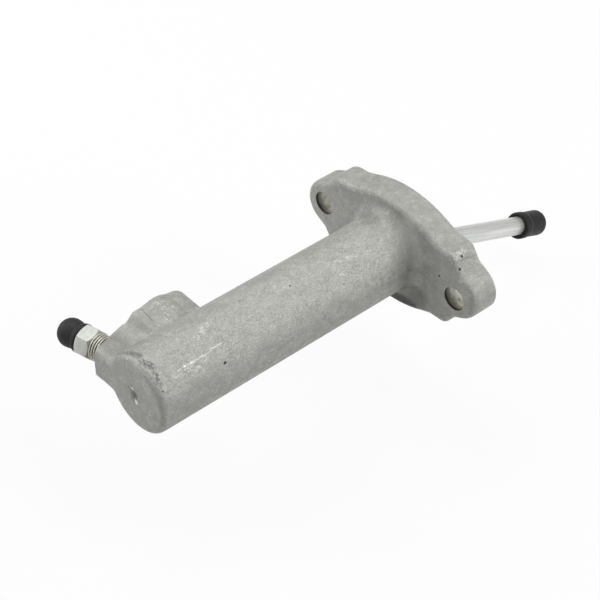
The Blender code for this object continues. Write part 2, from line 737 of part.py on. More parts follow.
def make_spring_seat(material):
    """The pressed seat between the cup and the spring, with a hollow collar."""
    front = SEAT_FRONT_X
    collar_end = front - SEAT_THICKNESS - SEAT_COLLAR_LENGTH
    profile = [
        (front, 0.0018),
        (front, SEAT_RADIUS),
        (front - SEAT_THICKNESS, SEAT_RADIUS),
        (front - SEAT_THICKNESS, SEAT_COLLAR_RADIUS),
        (collar_end, SEAT_COLLAR_RADIUS - 0.0002),
        (collar_end, SEAT_COLLAR_RADIUS - 0.0010),
        (front - SEAT_THICKNESS, SEAT_COLLAR_RADIUS - 0.0008),
        (front - SEAT_THICKNESS, 0.0018),
    ]
    return finish(turned_on_bore("spring_seat", profile, BORE_FACETS, closed=True), material)


def make_spring(material):
    """The coil spring behind the piston, with closed end coils."""
    steps_per_turn = 12
    start = BORE_END_X + GAP + SPRING_WIRE_RADIUS
    end = SPRING_FRONT_X - SPRING_WIRE_RADIUS
    closed = 2.2 * SPRING_WIRE_RADIUS
    count = SPRING_TURNS * steps_per_turn
    curve = bpy.data.curves.new("piston_spring", "CURVE")
    curve.dimensions = "3D"
    spline = curve.splines.new("POLY")
    spline.points.add(count)
    for i in range(count + 1):
        turn = i / steps_per_turn
        if turn < 1:
            x = start + closed * turn
        elif turn > SPRING_TURNS - 1:
            x = end - closed * (SPRING_TURNS - turn)
        else:
            share = (turn - 1) / (SPRING_TURNS - 2)
            x = start + closed + (end - start - 2 * closed) * share
        angle = 2 * math.pi * turn
        spline.points[i].co = (
            x, SPRING_RADIUS * math.cos(angle), SPRING_RADIUS * math.sin(angle), 1
        )
    curve.bevel_depth = SPRING_WIRE_RADIUS
    curve.bevel_resolution = 1
    curve.use_fill_caps = True
    spring = add_object("piston_spring", curve)
    bpy.context.view_layer.update()
    graph = bpy.context.evaluated_depsgraph_get()
    mesh = bpy.data.meshes.new_from_object(spring.evaluated_get(graph))
    bpy.data.objects.remove(spring)
    work = bmesh.new()
    work.from_mesh(mesh)
    bmesh.ops.remove_doubles(work, verts=work.verts, dist=0.00001)
    work.to_mesh(mesh)
    work.free()
    return finish(add_object("piston_spring", mesh), material)


def make_stop_washer(material):
    """The washer that stops the piston at the mouth."""
    front = GROOVE_BACK_X
    section = [
        (front, WASHER_INNER_RADIUS),
        (front, MOUTH_RADIUS - GAP),
        (WASHER_BACK_X, MOUTH_RADIUS - GAP),
        (WASHER_BACK_X, WASHER_INNER_RADIUS),
    ]
    return finish(turned_on_bore("stop_washer", section, BORE_FACETS, closed=True), material)


def make_retaining_ring(material):
    """The snap ring in the mouth's groove, with an eye at each end of its gap."""
    outer = GROOVE_RADIUS - GAP
    band = RING_BAND_RADIUS
    lug = RING_LUG_RADIUS
    start = math.radians(11)
    lug_end = math.radians(25)
    full = 2 * math.pi
    outline = arc((0, 0), outer, start, full - start, 36)
    outline += arc((0, 0), lug, full - start, full - lug_end, 3)
    outline += arc((0, 0), band, full - lug_end, lug_end, 34)
    outline += arc((0, 0), lug, lug_end, start, 3)
    curve = bpy.data.curves.new("retaining_ring", "CURVE")
    curve.dimensions = "2D"
    curve.fill_mode = "BOTH"
    curve.extrude = RING_THICKNESS / 2
    spline = curve.splines.new("POLY")
    spline.points.add(len(outline) - 1)
    for point, (u, v) in zip(spline.points, outline):
        point.co = (u, v, 0, 1)
    spline.use_cyclic_u = True
    eye_angle = (start + lug_end) / 2
    eye_centre = (outer + lug) / 2
    for sign in (-1, 1):
        centre = (
            eye_centre * math.cos(sign * eye_angle), eye_centre * math.sin(sign * eye_angle)
        )
        eye = curve.splines.new("POLY")
        eye.points.add(9)
        for point, (u, v) in zip(eye.points, arc(centre, RING_EYE_RADIUS, 0, full, 10)[:-1]):
            point.co = (u, v, 0, 1)
        eye.use_cyclic_u = True
    flat = add_object("retaining_ring", curve)
    bpy.context.view_layer.update()
    graph = bpy.context.evaluated_depsgraph_get()
    mesh = bpy.data.meshes.new_from_object(flat.evaluated_get(graph))
    bpy.data.objects.remove(flat)
    work = bmesh.new()
    work.from_mesh(mesh)
    bmesh.ops.remove_doubles(work, verts=work.verts, dist=0.00001)
    work.to_mesh(mesh)
    work.free()
    ring = add_object("retaining_ring", mesh)
    ring.location = ((GROOVE_FRONT_X + GROOVE_BACK_X) / 2, 0, 0)
    ring.rotation_euler = (0, -math.pi / 2, 0)
    return finish(ring, material)


def main():
    """Build every piece and put the moving ones on empties on their joints' axes."""
    cast = make_material("cast_aluminium", (0.56, 0.56, 0.54), 0.55, 0.9)
    zinc = make_material("bright_zinc", (0.80, 0.80, 0.78), 0.30, 1.0)
    rod_steel = make_material("drawn_steel", (0.72, 0.72, 0.71), 0.30, 1.0)
    spring_steel = make_material("spring_steel", (0.30, 0.30, 0.31), 0.40, 1.0)
    clip_steel = make_material("phosphated_steel", (0.16, 0.16, 0.17), 0.50, 0.8)
    piston_metal = make_material("anodised_aluminium", (0.62, 0.62, 0.60), 0.35, 1.0)
    cap_rubber = make_material("cap_rubber", (0.030, 0.030, 0.032), 0.70, 0.0)
    cap_plastic = make_material("cap_plastic", (0.025, 0.026, 0.028), 0.50, 0.0)
    seal_rubber = make_material("seal_rubber", (0.020, 0.020, 0.021), 0.60, 0.0)

    pieces = [
        make_body(cast),
        make_stop_washer(zinc),
        make_retaining_ring(clip_steel),
        make_spring(spring_steel),
        make_spring_seat(zinc),
        make_primary_cup(seal_rubber),
        make_piston(piston_metal),
        make_secondary_seal(seal_rubber),
        make_rod_clip(clip_steel),
        make_push_rod(rod_steel),
        make_rod_cap(cap_plastic),
        make_bleed_screw(zinc),
        make_bleed_cap(cap_rubber),
    ]

    frames = {
        "bore_axis": ((0, 0, 0), (1, 0, 0)),
        "rod_pivot": ((ROD_PIVOT_X, 0, 0), ROD_DIRECTION),
        "bleed_axis": (BLEED_FACE_POINT, BLEED_DIRECTION),
    }
    riders = {
        "bore_axis": ("spring_seat", "primary_cup", "piston", "secondary_seal", "rod_clip"),
        "rod_pivot": ("push_rod", "push_rod_cap"),
        "bleed_axis": ("bleed_screw", "bleed_cap"),
    }
    named = {piece.name: piece for piece in pieces}
    for name, (location, direction) in frames.items():
        empty = point_along(add_object(name, None), location, direction)
        bpy.context.view_layer.update()
        for rider in riders[name]:
            piece = named[rider]
            piece.parent = empty
            piece.matrix_parent_inverse = empty.matrix_world.inverted()


main()
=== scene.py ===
"""Clutch slave cylinder: the detailed scene, in metres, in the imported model's frame.

+X runs out of the mouth along the piston's stroke, +Y points to the side with the port and
bleed screw, and the origin is on the bore's axis in the mounting face.
"""

import json
import math
from functools import reduce

import bmesh
import bpy
from mathutils import Matrix, Quaternion, Vector

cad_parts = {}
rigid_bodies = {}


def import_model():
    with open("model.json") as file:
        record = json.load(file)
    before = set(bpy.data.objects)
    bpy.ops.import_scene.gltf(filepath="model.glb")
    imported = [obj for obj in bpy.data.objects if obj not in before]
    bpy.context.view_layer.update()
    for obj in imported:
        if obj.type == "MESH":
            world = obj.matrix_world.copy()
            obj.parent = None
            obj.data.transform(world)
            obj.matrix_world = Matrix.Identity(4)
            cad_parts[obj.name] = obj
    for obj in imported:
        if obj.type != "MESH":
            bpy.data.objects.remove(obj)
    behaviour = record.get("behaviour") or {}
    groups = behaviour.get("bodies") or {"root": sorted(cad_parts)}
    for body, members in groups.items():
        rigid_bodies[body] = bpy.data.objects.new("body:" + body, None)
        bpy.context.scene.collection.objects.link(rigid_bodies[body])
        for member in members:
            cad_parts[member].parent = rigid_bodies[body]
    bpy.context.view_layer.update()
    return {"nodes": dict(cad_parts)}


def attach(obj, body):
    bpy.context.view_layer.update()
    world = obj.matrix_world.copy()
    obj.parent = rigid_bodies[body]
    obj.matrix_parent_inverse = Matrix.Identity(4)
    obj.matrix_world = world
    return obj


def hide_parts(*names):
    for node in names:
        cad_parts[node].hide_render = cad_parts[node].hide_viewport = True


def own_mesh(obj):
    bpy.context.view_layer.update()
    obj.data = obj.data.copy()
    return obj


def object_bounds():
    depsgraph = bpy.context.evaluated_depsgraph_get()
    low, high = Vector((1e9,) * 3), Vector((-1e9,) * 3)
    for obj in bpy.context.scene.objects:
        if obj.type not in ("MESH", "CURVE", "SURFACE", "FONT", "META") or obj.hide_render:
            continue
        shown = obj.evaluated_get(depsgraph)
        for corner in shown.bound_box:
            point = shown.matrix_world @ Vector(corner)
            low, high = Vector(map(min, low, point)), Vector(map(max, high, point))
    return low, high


# Barrel and bore
BARREL_RADIUS = 0.0145
BARREL_LENGTH = 0.1232
END_ROUNDING = 0.0023
END_WALL = 0.0062
BORE_RADIUS = 0.0095
CENTRE_DIMPLE_RADIUS = 0.0014
CENTRE_DIMPLE_DEPTH = 0.0011

# Flange
FLANGE_THICKNESS = 0.0110
FLANGE_HALF_HEIGHT = 0.0212
FLANGE_ARC_RADIUS = 0.0440
FLANGE_ARC_END = 0.0180
FLANGE_EDGE_ROUNDING = 0.0022
OUTLINE_TURN = math.radians(1.8)
FLARE_RADIUS = 0.0044
BOLT_SPACING = 0.0655
BOLT_HOLE_RADIUS = 0.0045
EAR_RADIUS = 0.0092
KNUCKLE_START = (0.0222, 0.0158)
KNUCKLE_CORNER = (0.0290, 0.0155)
KNUCKLE_ROUNDING = 0.0026
SOFT_KNUCKLE_ROUNDING = 0.0080
NOTCH_CORNER = (0.0326, 0.0104)
NOTCH_ROUNDING = 0.0020

# Mouth, from the mounting face inwards
MOUTH_RADIUS = 0.0108
MOUTH_CHAMFER = 0.0005
RING_DEPTH = 0.0022
RING_THICKNESS = 0.0011
WASHER_THICKNESS = 0.0010
GROOVE_RADIUS = 0.0116
WASHER_INNER_RADIUS = 0.0081
RING_BAND_RADIUS = 0.0092
RING_LUG_RADIUS = 0.0086
RING_EYE_RADIUS = 0.0006
RING_GAP_ANGLE = math.radians(11)
RING_LUG_ANGLE = math.radians(25)

# Side block with the bleed screw and the port, with its lengths from the closed end
BLOCK_BOTTOM = -0.0077
BLOCK_FACE_Y = 0.0240
BOSS_END_TOP = 0.0031
BOSS_TOP = 0.0058
BOSS_SHOULDER_RADIUS = 0.0030
BOSS_OVERLAP = 0.0040
PAD_FOOT = 0.0150
PAD_FOOT_TOP = 0.0050
PAD_BACK = 0.0180
PAD_BACK_TOP = 0.0084
PAD_CREASE = 0.0209
PAD_CREST_START = 0.0244
PAD_CREST_START_TOP = 0.0094
PAD_CREST = 0.0270
PAD_CREST_TOP = 0.0098
PAD_CREST_END = 0.0295
PAD_CREST_END_TOP = 0.0093
PAD_ROUNDING = 0.0014
PORT_SETBACK = 0.0322
PORT_BOSS_RADIUS = 0.0083
PORT_THREAD_RADIUS = 0.0053
PORT_THREAD_DEPTH = 0.0100
PORT_THREAD_PITCH = 0.0010
PORT_PASSAGE_RADIUS = 0.0016
PASSAGE_OVERRUN = 0.0024

# Bleed screw
BLEED_SETBACK = 0.0062
BLEED_FACE_Y = 0.0224
BLEED_FACE_Z = -0.0015
BLEED_TURN_BACK = math.radians(10.2)
BLEED_DROOP = math.radians(5.0)
BLEED_HOLE_RADIUS = 0.0052
BLEED_HOLE_DEPTH = 0.0090
BLEED_PASSAGE_RADIUS = 0.0014
DRILL_POINT = math.radians(59)
SCREW_RADIUS = 0.0049
SCREW_PITCH = 0.0010
THREAD_DEPTH = 0.00056
SCREW_THREAD_END = -0.0055
SCREW_NECK_RADIUS = 0.0034
SCREW_BORE_RADIUS = 0.0009
HEX_ACROSS_FLATS = 0.0100
HEX_BASE = 0.0045
HEX_TOP = 0.0105
HEX_TURN = math.radians(20)
HEX_BEVEL = 0.00012
NIPPLE_NECK_RADIUS = 0.0026
NIPPLE_BARB_RADIUS = 0.0033
NIPPLE_TOP = 0.0175
BLEED_CAP_RADIUS = 0.0051
BLEED_CAP_WAIST_RADIUS = 0.0047
BLEED_CAP_LIP_RADIUS = 0.0052
BLEED_CAP_LENGTH = 0.0100
BLEED_CAP_DOME = 0.0046

# Push rod, with lengths from the ball's centre
ROD_PIVOT_X = -0.0102
ROD_DROOP = math.radians(21.3)
ROD_RADIUS = 0.00355
ROD_LENGTH = 0.0886
BALL_RADIUS = 0.0052
NECK_RADIUS = 0.0025
NECK_END = 0.0080
ROD_CAP_COVER = 0.0108
ROD_CAP_LENGTH = 0.0144
ROD_CAP_RADIUS = 0.0050
ROD_CAP_BEAD_RADIUS = 0.0052
ROD_CAP_ROUNDING = 0.0026

# Piston, clip, seals and spring
PISTON_RADIUS = 0.0092
PISTON_LENGTH = 0.0300
PISTON_LAND = 0.0040
PISTON_WAIST_RADIUS = 0.0077
PISTON_DIMPLE_RADIUS = 0.0016
PISTON_DIMPLE_DEPTH = 0.0010
SEAL_SETBACK = 0.0075
CLIP_THICKNESS = 0.0008
CLIP_INNER_RADIUS = 0.00455
CLIP_OUTER_RADIUS = 0.0069
CLIP_OFFSET = 0.0030
CLIP_LIP_RADIUS = 0.0064
CLIP_GAP_HALF_WIDTH = 0.0008
SEAL_GROOVE_RADIUS = 0.0072
SEAL_WIDTH = 0.0032
SEAL_RADIUS = 0.00925
CUP_BASE = 0.0024
CUP_LENGTH = 0.0052
SEAT_RADIUS = 0.0074
SEAT_THICKNESS = 0.0008
SEAT_COLLAR_RADIUS = 0.0058
SEAT_COLLAR_LENGTH = 0.0042
SEAT_HOLE_RADIUS = 0.0018
SPRING_RADIUS = 0.0069
SPRING_WIRE_RADIUS = 0.00065
SPRING_TURNS = 12
SPRING_STEPS = 32
GAP = 0.0003

# Fineness of the shapes
ROUND = 96
HELIX_STEPS = 64
CAST_VOXEL = 0.00052
CAST_SMOOTHING = 7
STOCK = 0.0016

# Worked out from the sizes above
CLOSED_END_X = -BARREL_LENGTH
PORT_X = CLOSED_END_X + PORT_SETBACK
BLEED_FACE_POINT = Vector((CLOSED_END_X + BLEED_SETBACK, BLEED_FACE_Y, BLEED_FACE_Z))
BLEED_CAP_START = HEX_TOP + GAP
ROD_CAP_MOUTH = ROD_LENGTH - ROD_CAP_COVER
BORE_END_X = CLOSED_END_X + END_WALL
BOLT_Y = BOLT_SPACING / 2
GROOVE_FRONT_X = -RING_DEPTH
GROOVE_BACK_X = GROOVE_FRONT_X - RING_THICKNESS - 2 * GAP
WASHER_BACK_X = GROOVE_BACK_X - WASHER_THICKNESS
MOUTH_BACK_X = WASHER_BACK_X - GAP
PISTON_FRONT_X = MOUTH_BACK_X
PISTON_BACK_X = PISTON_FRONT_X - PISTON_LENGTH
SOCKET_RADIUS = BALL_RADIUS + GAP
CUP_FRONT_X = PISTON_BACK_X - GAP
SEAT_FRONT_X = CUP_FRONT_X - CUP_BASE - GAP
SPRING_FRONT_X = SEAT_FRONT_X - SEAT_THICKNESS - GAP
ROD_DIRECTION = Vector((math.cos(ROD_DROOP), 0, -math.sin(ROD_DROOP)))
BLEED_DIRECTION = Vector((
    -math.sin(BLEED_TURN_BACK) * math.cos(BLEED_DROOP),
    math.cos(BLEED_TURN_BACK) * math.cos(BLEED_DROOP),
    -math.sin(BLEED_DROOP),
))

# Camera of the photograph
CAMERA_PLACE = (-0.3477, -0.2981, 0.3905)
CAMERA_RIGHT = (0.741, -0.669, 0.050)
CAMERA_FORWARD = (0.515, 0.520, -0.681)
CAMERA_LENS = 101.3
CAMERA_SENSOR = 36.0

# Studio: how white each kind of ray sees it, and where its lights stand
WORLD_WHITENESS = 1.0
WORLD_GLOSSY_WHITE = 0.55
WORLD_LIGHT = 0.06
FLOOR_WHITENESS = 0.90
FLOOR_GLOSSY_WHITE = 0.30
FLOOR_HALF_SIDE = 6
FLOOR_DROP = 0.0100
LIGHT_TARGET = Vector((-0.045, 0, 0))
LIGHT_DISTANCE = 0.9
LIGHT_SIZE = 0.5

for left_over in list(bpy.data.objects):
    bpy.data.objects.remove(left_over)

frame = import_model()


# Shape helpers

def add_object(name, data):
    """An object linked to the scene."""
    obj = bpy.data.objects.new(name, data)
    bpy.context.scene.collection.objects.link(obj)
    return obj


def point_along(obj, location, direction):
    """Place an object with its own Z along a direction."""
    obj.location = location
    obj.rotation_euler = Vector(direction).to_track_quat("Z", "Y").to_euler()
    return obj


def evaluated_mesh(obj):
    """An object's mesh with its modifiers or curve settings carried out."""
    bpy.context.view_layer.update()
    graph = bpy.context.evaluated_depsgraph_get()
    return bpy.data.meshes.new_from_object(obj.evaluated_get(graph))


def bake(obj):
    """Replace an object's mesh by its evaluated mesh, with no modifiers left."""
    mesh = evaluated_mesh(obj)
    obj.modifiers.clear()
    obj.data = mesh
    return obj


def from_bmesh(name, work):
    """An object from a bmesh, which is then freed."""
    mesh = bpy.data.meshes.new(name)
    work.to_mesh(mesh)
    work.free()
    return add_object(name, mesh)


def from_curve(name, curve, outlines, cyclic=False):
    """A mesh object from a curve with one straight-sided spline for each outline."""
    for places in outlines:
        spline = curve.splines.new("POLY")
        spline.points.add(len(places) - 1)
        for point, place in zip(spline.points, places):
            point.co = (*place, 1)
        spline.use_cyclic_u = cyclic
    source = add_object(name + "_source", curve)
    mesh = evaluated_mesh(source)
    bpy.data.objects.remove(source)
    return add_object(name, mesh)


def freeze(obj):
    """Put an object's place into its vertices, so that shading coordinates are the part's own."""
    bake(obj)
    obj.data.transform(obj.matrix_world)
    obj.matrix_world = Matrix.Identity(4)
    return obj


def add_screw(obj, steps, offset=0.0, turns=1):
    """Sweep an object's edges about its own Z."""
    screw = obj.modifiers.new("turn", "SCREW")
    screw.axis = "Z"
    screw.angle = 2 * math.pi
    screw.screw_offset = offset
    screw.iterations = turns
    screw.steps = steps
    screw.render_steps = steps
    return screw


def section(name, profile, closed):
    """An object with edges along (radius, height) points."""
    mesh = bpy.data.meshes.new(name)
    edges = [(i, i + 1) for i in range(len(profile) - 1)]
    if closed:
        edges.append((len(profile) - 1, 0))
    mesh.from_pydata([(radius, 0, height) for radius, height in profile], edges, [])
    return add_object(name, mesh)


def turned(name, profile, facets=ROUND, closed=False):
    """A solid turned about its own Z from (radius, height) points down its outer side."""
    obj = section(name, profile, closed)
    screw = add_screw(obj, facets)
    screw.use_merge_vertices = True
    screw.merge_threshold = 0.00001
    return bake(obj)


def turned_on_bore(name, profile, facets=ROUND, closed=False):
    """A solid turned about the bore's axis from (x, radius) points, +X end first."""
    obj = turned(name, [(radius, x) for x, radius in profile], facets, closed)
    obj.rotation_euler = (0, math.pi / 2, 0)
    return obj


def cylinder_along(name, start, direction, radius, length, facets=64):
    """A cylinder primitive from a start point along a direction."""
    work = bmesh.new()
    bmesh.ops.create_cone(
        work, cap_ends=True, segments=facets, radius1=radius, radius2=radius, depth=length
    )
    bmesh.ops.translate(work, verts=work.verts, vec=(0, 0, length / 2))
    return point_along(from_bmesh(name, work), start, direction)


def box(name, low, high):
    """A box primitive between two corners."""
    work = bmesh.new()
    bmesh.ops.create_cube(work, size=1)
    obj = from_bmesh(name, work)
    obj.location = (Vector(low) + Vector(high)) / 2
    obj.scale = Vector(high) - Vector(low)
    return obj


def apply_boolean(obj, other, operation):
    """Join, cut or trim an object with another one, which is then removed."""
    modifier = obj.modifiers.new(other.name, "BOOLEAN")
    modifier.operation = operation
    modifier.object = other
    modifier.solver = "EXACT"
    bake(obj)
    bpy.data.objects.remove(other)


def cut(obj, *tools):
    """Cut an object with others, one after the other."""
    for tool in tools:
        apply_boolean(obj, tool, "DIFFERENCE")


def close_ends(obj):
    """Fill the open ends of a swept shape and turn all its faces outwards."""
    work = bmesh.new()
    work.from_mesh(obj.data)
    bmesh.ops.holes_fill(work, edges=[edge for edge in work.edges if edge.is_boundary], sides=0)
    bmesh.ops.recalc_face_normals(work, faces=work.faces)
    work.to_mesh(obj.data)
    work.free()


def drop_folds(obj):
    """Triangulate a mesh and drop the back-to-back slivers that booleans can leave."""
    work = bmesh.new()
    work.from_mesh(obj.data)
    bmesh.ops.triangulate(work, faces=work.faces)
    bmesh.ops.dissolve_degenerate(work, dist=1e-7, edges=work.edges)
    bmesh.ops.triangulate(work, faces=work.faces)
    corners = {}
    for face in work.faces:
        corners.setdefault(frozenset(v.index for v in face.verts), []).append(face)
    folded = [face for group in corners.values() if len(group) > 1 for face in group]
    bmesh.ops.delete(work, geom=folded, context="FACES")
    work.to_mesh(obj.data)
    work.free()


def shade(obj, angle=32):
    """Smooth shading with creases kept sharp."""
    obj.data.shade_smooth()
    obj.data.set_sharp_from_angle(angle=math.radians(angle))


def set_materials(obj, *materials):
    """Give an object its materials, with every face in the first one's slot."""
    obj.data.materials.clear()
    for material in materials:
        obj.data.materials.append(material)
    for face in obj.data.polygons:
        face.material_index = 0


def dress(obj, material, angle=32):
    """Give an object one material and smooth shading with creases kept sharp."""
    set_materials(obj, material)
    shade(obj, angle)


def arc(centre, radius, start, end, steps=10):
    """Points on an arc between two angles in radians."""
    points = []
    for i in range(steps + 1):
        angle = start + (end - start) * i / steps
        points.append((centre[0] + radius * math.cos(angle), centre[1] + radius * math.sin(angle)))
    return points


def rounded_corner(before, corner, after, radius, steps=8):
    """Points of the arc that rounds one corner of an outline."""
    corner = Vector(corner)
    back = (Vector(before) - corner).normalized()
    ahead = (Vector(after) - corner).normalized()
    half_angle = back.angle(ahead) / 2
    setback = radius / math.tan(half_angle)
    centre = corner + (back + ahead).normalized() * radius / math.sin(half_angle)
    first = corner + back * setback - centre
    last = corner + ahead * setback - centre
    start = math.atan2(first.y, first.x)
    sweep = math.atan2(last.y, last.x) - start
    sweep = (sweep + math.pi) % (2 * math.pi) - math.pi
    return arc(centre, radius, start, start + sweep, steps)


def rounded_profile(points, radius, steps=4):
    """A profile with each inner corner rounded by one radius, where there is room."""
    rounded = [points[0]]
    for i in range(1, len(points) - 1):
        before = Vector(points[i - 1])
        corner = Vector(points[i])
        after = Vector(points[i + 1])
        room = min((before - corner).length, (after - corner).length) * 0.49
        back = (before - corner).normalized()
        ahead = (after - corner).normalized()
        half_angle = back.angle(ahead) / 2
        used = min(radius, room * math.tan(half_angle))
        if half_angle > 1.5 or used < 0.00002:
            rounded.append(points[i])
        else:
            rounded += rounded_corner(points[i - 1], points[i], points[i + 1], used, steps)
    rounded.append(points[-1])
    return rounded


def prism(name, outline, place):
    """A prism between place(u, v, 0) and place(u, v, 1) of a flat outline's points."""
    work = bmesh.new()
    low = [work.verts.new(place(u, v, 0)) for u, v in outline]
    high = [work.verts.new(place(u, v, 1)) for u, v in outline]
    work.faces.new(low)
    work.faces.new(list(reversed(high)))
    count = len(outline)
    for i in range(count):
        after = (i + 1) % count
        work.faces.new((low[after], low[i], high[i], high[after]))
    bmesh.ops.recalc_face_normals(work, faces=work.faces)
    return from_bmesh(name, work)


# Material helpers

class Nodes:
    """The node tree of a material or world, with short ways to add and link nodes."""

    def __init__(self, owner):
        self.owner = owner
        owner.use_nodes = True
        self.tree = owner.node_tree
        self.place = self.add("ShaderNodeTexCoord").outputs["Object"]

    def add(self, kind, **settings):
        """Add a node and set its properties."""
        node = self.tree.nodes.new(kind)
        for key, value in settings.items():
            setattr(node, key, value)
        return node

    def put(self, socket, value):
        """Link an output to a socket, or set the socket's value."""
        if isinstance(value, bpy.types.NodeSocket):
            self.tree.links.new(value, socket)
        else:
            socket.default_value = value

    def maths(self, operation, a, b=0.0):
        """One arithmetic step."""
        node = self.add("ShaderNodeMath", operation=operation)
        self.put(node.inputs[0], a)
        self.put(node.inputs[1], b)
        return node.outputs[0]

    def times(self, a, b):
        """The product of two values."""
        return self.maths("MULTIPLY", a, b)

    def most(self, a, b):
        """The larger of two values."""
        return self.maths("MAXIMUM", a, b)

    def vector(self, operation, a, b=(0, 0, 0)):
        """One vector step."""
        node = self.add("ShaderNodeVectorMath", operation=operation)
        self.put(node.inputs[0], a)
        self.put(node.inputs["Scale" if operation == "SCALE" else 1], b)
        return node.outputs["Value" if operation in ("LENGTH", "DISTANCE", "DOT_PRODUCT") else 0]

    def noise_of(self, place, detail=3.0, roughness=0.5, bend=0.0):
        """Noise from 0 to 1 at a place given in grains."""
        node = self.add("ShaderNodeTexNoise")
        self.put(node.inputs["Vector"], place)
        node.inputs["Scale"].default_value = 1.0
        node.inputs["Detail"].default_value = detail
        node.inputs["Roughness"].default_value = roughness
        node.inputs["Distortion"].default_value = bend
        return node.outputs["Fac"]

    def noise(self, size, detail=3.0, roughness=0.5, stretch=(1, 1, 1), bend=0.0):
        """Noise with grains of a size in metres, from 0 to 1."""
        scaled = self.vector("MULTIPLY", self.place, tuple(1 / (size * s) for s in stretch))
        return self.noise_of(scaled, detail, roughness, bend)

    def curls(self, size, width, bend):
        """Thin bent lines, 1 on the line and 0 beside it, from the middle level of a distorted noise."""
        level = self.maths("SUBTRACT", self.noise(size, 1.0, bend=bend), 0.5)
        return self.spread(self.maths("ABSOLUTE", level), width, width * 0.2)

    def spread(self, value, low, high, to_low=0.0, to_high=1.0):
        """Map a range onto another one, clamped and smooth."""
        node = self.add("ShaderNodeMapRange", interpolation_type="SMOOTHSTEP")
        self.put(node.inputs["Value"], value)
        self.put(node.inputs["From Min"], low)
        self.put(node.inputs["From Max"], high)
        self.put(node.inputs["To Min"], to_low)
        self.put(node.inputs["To Max"], to_high)
        return node.outputs["Result"]

    def mix(self, share, a, b):
        """Mix two colours."""
        node = self.add("ShaderNodeMix", data_type="RGBA")
        self.put(node.inputs["Factor"], share)
        self.put(node.inputs["A"], a)
        self.put(node.inputs["B"], b)
        return node.outputs["Result"]

    def paint(self, colour, mask, share, tint):
        """Lay a share of a tint over a colour where a mask is 1."""
        return self.mix(self.times(mask, share), colour, (*tint, 1))

    def near_point(self, point, radius):
        """1 at a point, falling to 0 at a radius."""
        distance = self.vector("DISTANCE", self.place, point)
        return self.spread(distance, radius, radius * 0.45)

    def near_line(self, start, end, radius, ragged=0.0, size=0.0006):
        """1 along a short line, falling to 0 at a radius, with a ragged edge."""
        along = Vector(end) - Vector(start)
        length = along.length
        unit = tuple(along / length)
        offset = self.vector("SUBTRACT", self.place, start)
        reach = self.vector("DOT_PRODUCT", offset, unit)
        reach = self.maths("MINIMUM", self.most(reach, 0.0), length)
        distance = self.vector("DISTANCE", offset, self.vector("SCALE", unit, reach))
        if ragged:
            shift = self.times(self.maths("SUBTRACT", self.noise(size, 2), 0.5), ragged * 2)
            distance = self.maths("ADD", distance, shift)
        return self.spread(distance, radius, radius * 0.4)

    def points(self, marks):
        """The most of several near_point marks."""
        return reduce(self.most, (self.near_point(*mark) for mark in marks))

    def lines(self, ragged, size, marks):
        """The most of several near_line marks that are ragged alike."""
        return reduce(self.most, (self.near_line(*mark, ragged, size) for mark in marks))

    def bump(self, height, distance):
        """A bump from a height from 0 to 1 with its full depth in metres."""
        node = self.add("ShaderNodeBump")
        node.inputs["Strength"].default_value = 1.0
        node.inputs["Distance"].default_value = distance
        self.put(node.inputs["Height"], height)
        return node.outputs["Normal"]

    def white_share(self, camera, glossy, transmission):
        """How white each kind of ray sees the background."""
        path = self.add("ShaderNodeLightPath")
        share = self.times(path.outputs["Is Camera Ray"], camera)
        share = self.most(share, self.times(path.outputs["Is Glossy Ray"], glossy))
        return self.most(share, self.times(path.outputs["Is Transmission Ray"], transmission))

    def finish(self, colour, roughness, metallic, normal=None, specular=0.5):
        """Set the inputs of the material's shader."""
        shader = self.tree.nodes["Principled BSDF"]
        self.put(shader.inputs["Base Color"], colour)
        self.put(shader.inputs["Roughness"], roughness)
        self.put(shader.inputs["Metallic"], metallic)
        self.put(shader.inputs["Specular IOR Level"], specular)
        if normal is not None:
            self.put(shader.inputs["Normal"], normal)
        return self.owner


def material_nodes(name):
    """The nodes of a new material."""
    return Nodes(bpy.data.materials.new(name))


def dimmed(colour, share):
    """A colour times a share, as an opaque colour."""
    return (*(part * share for part in colour), 1)


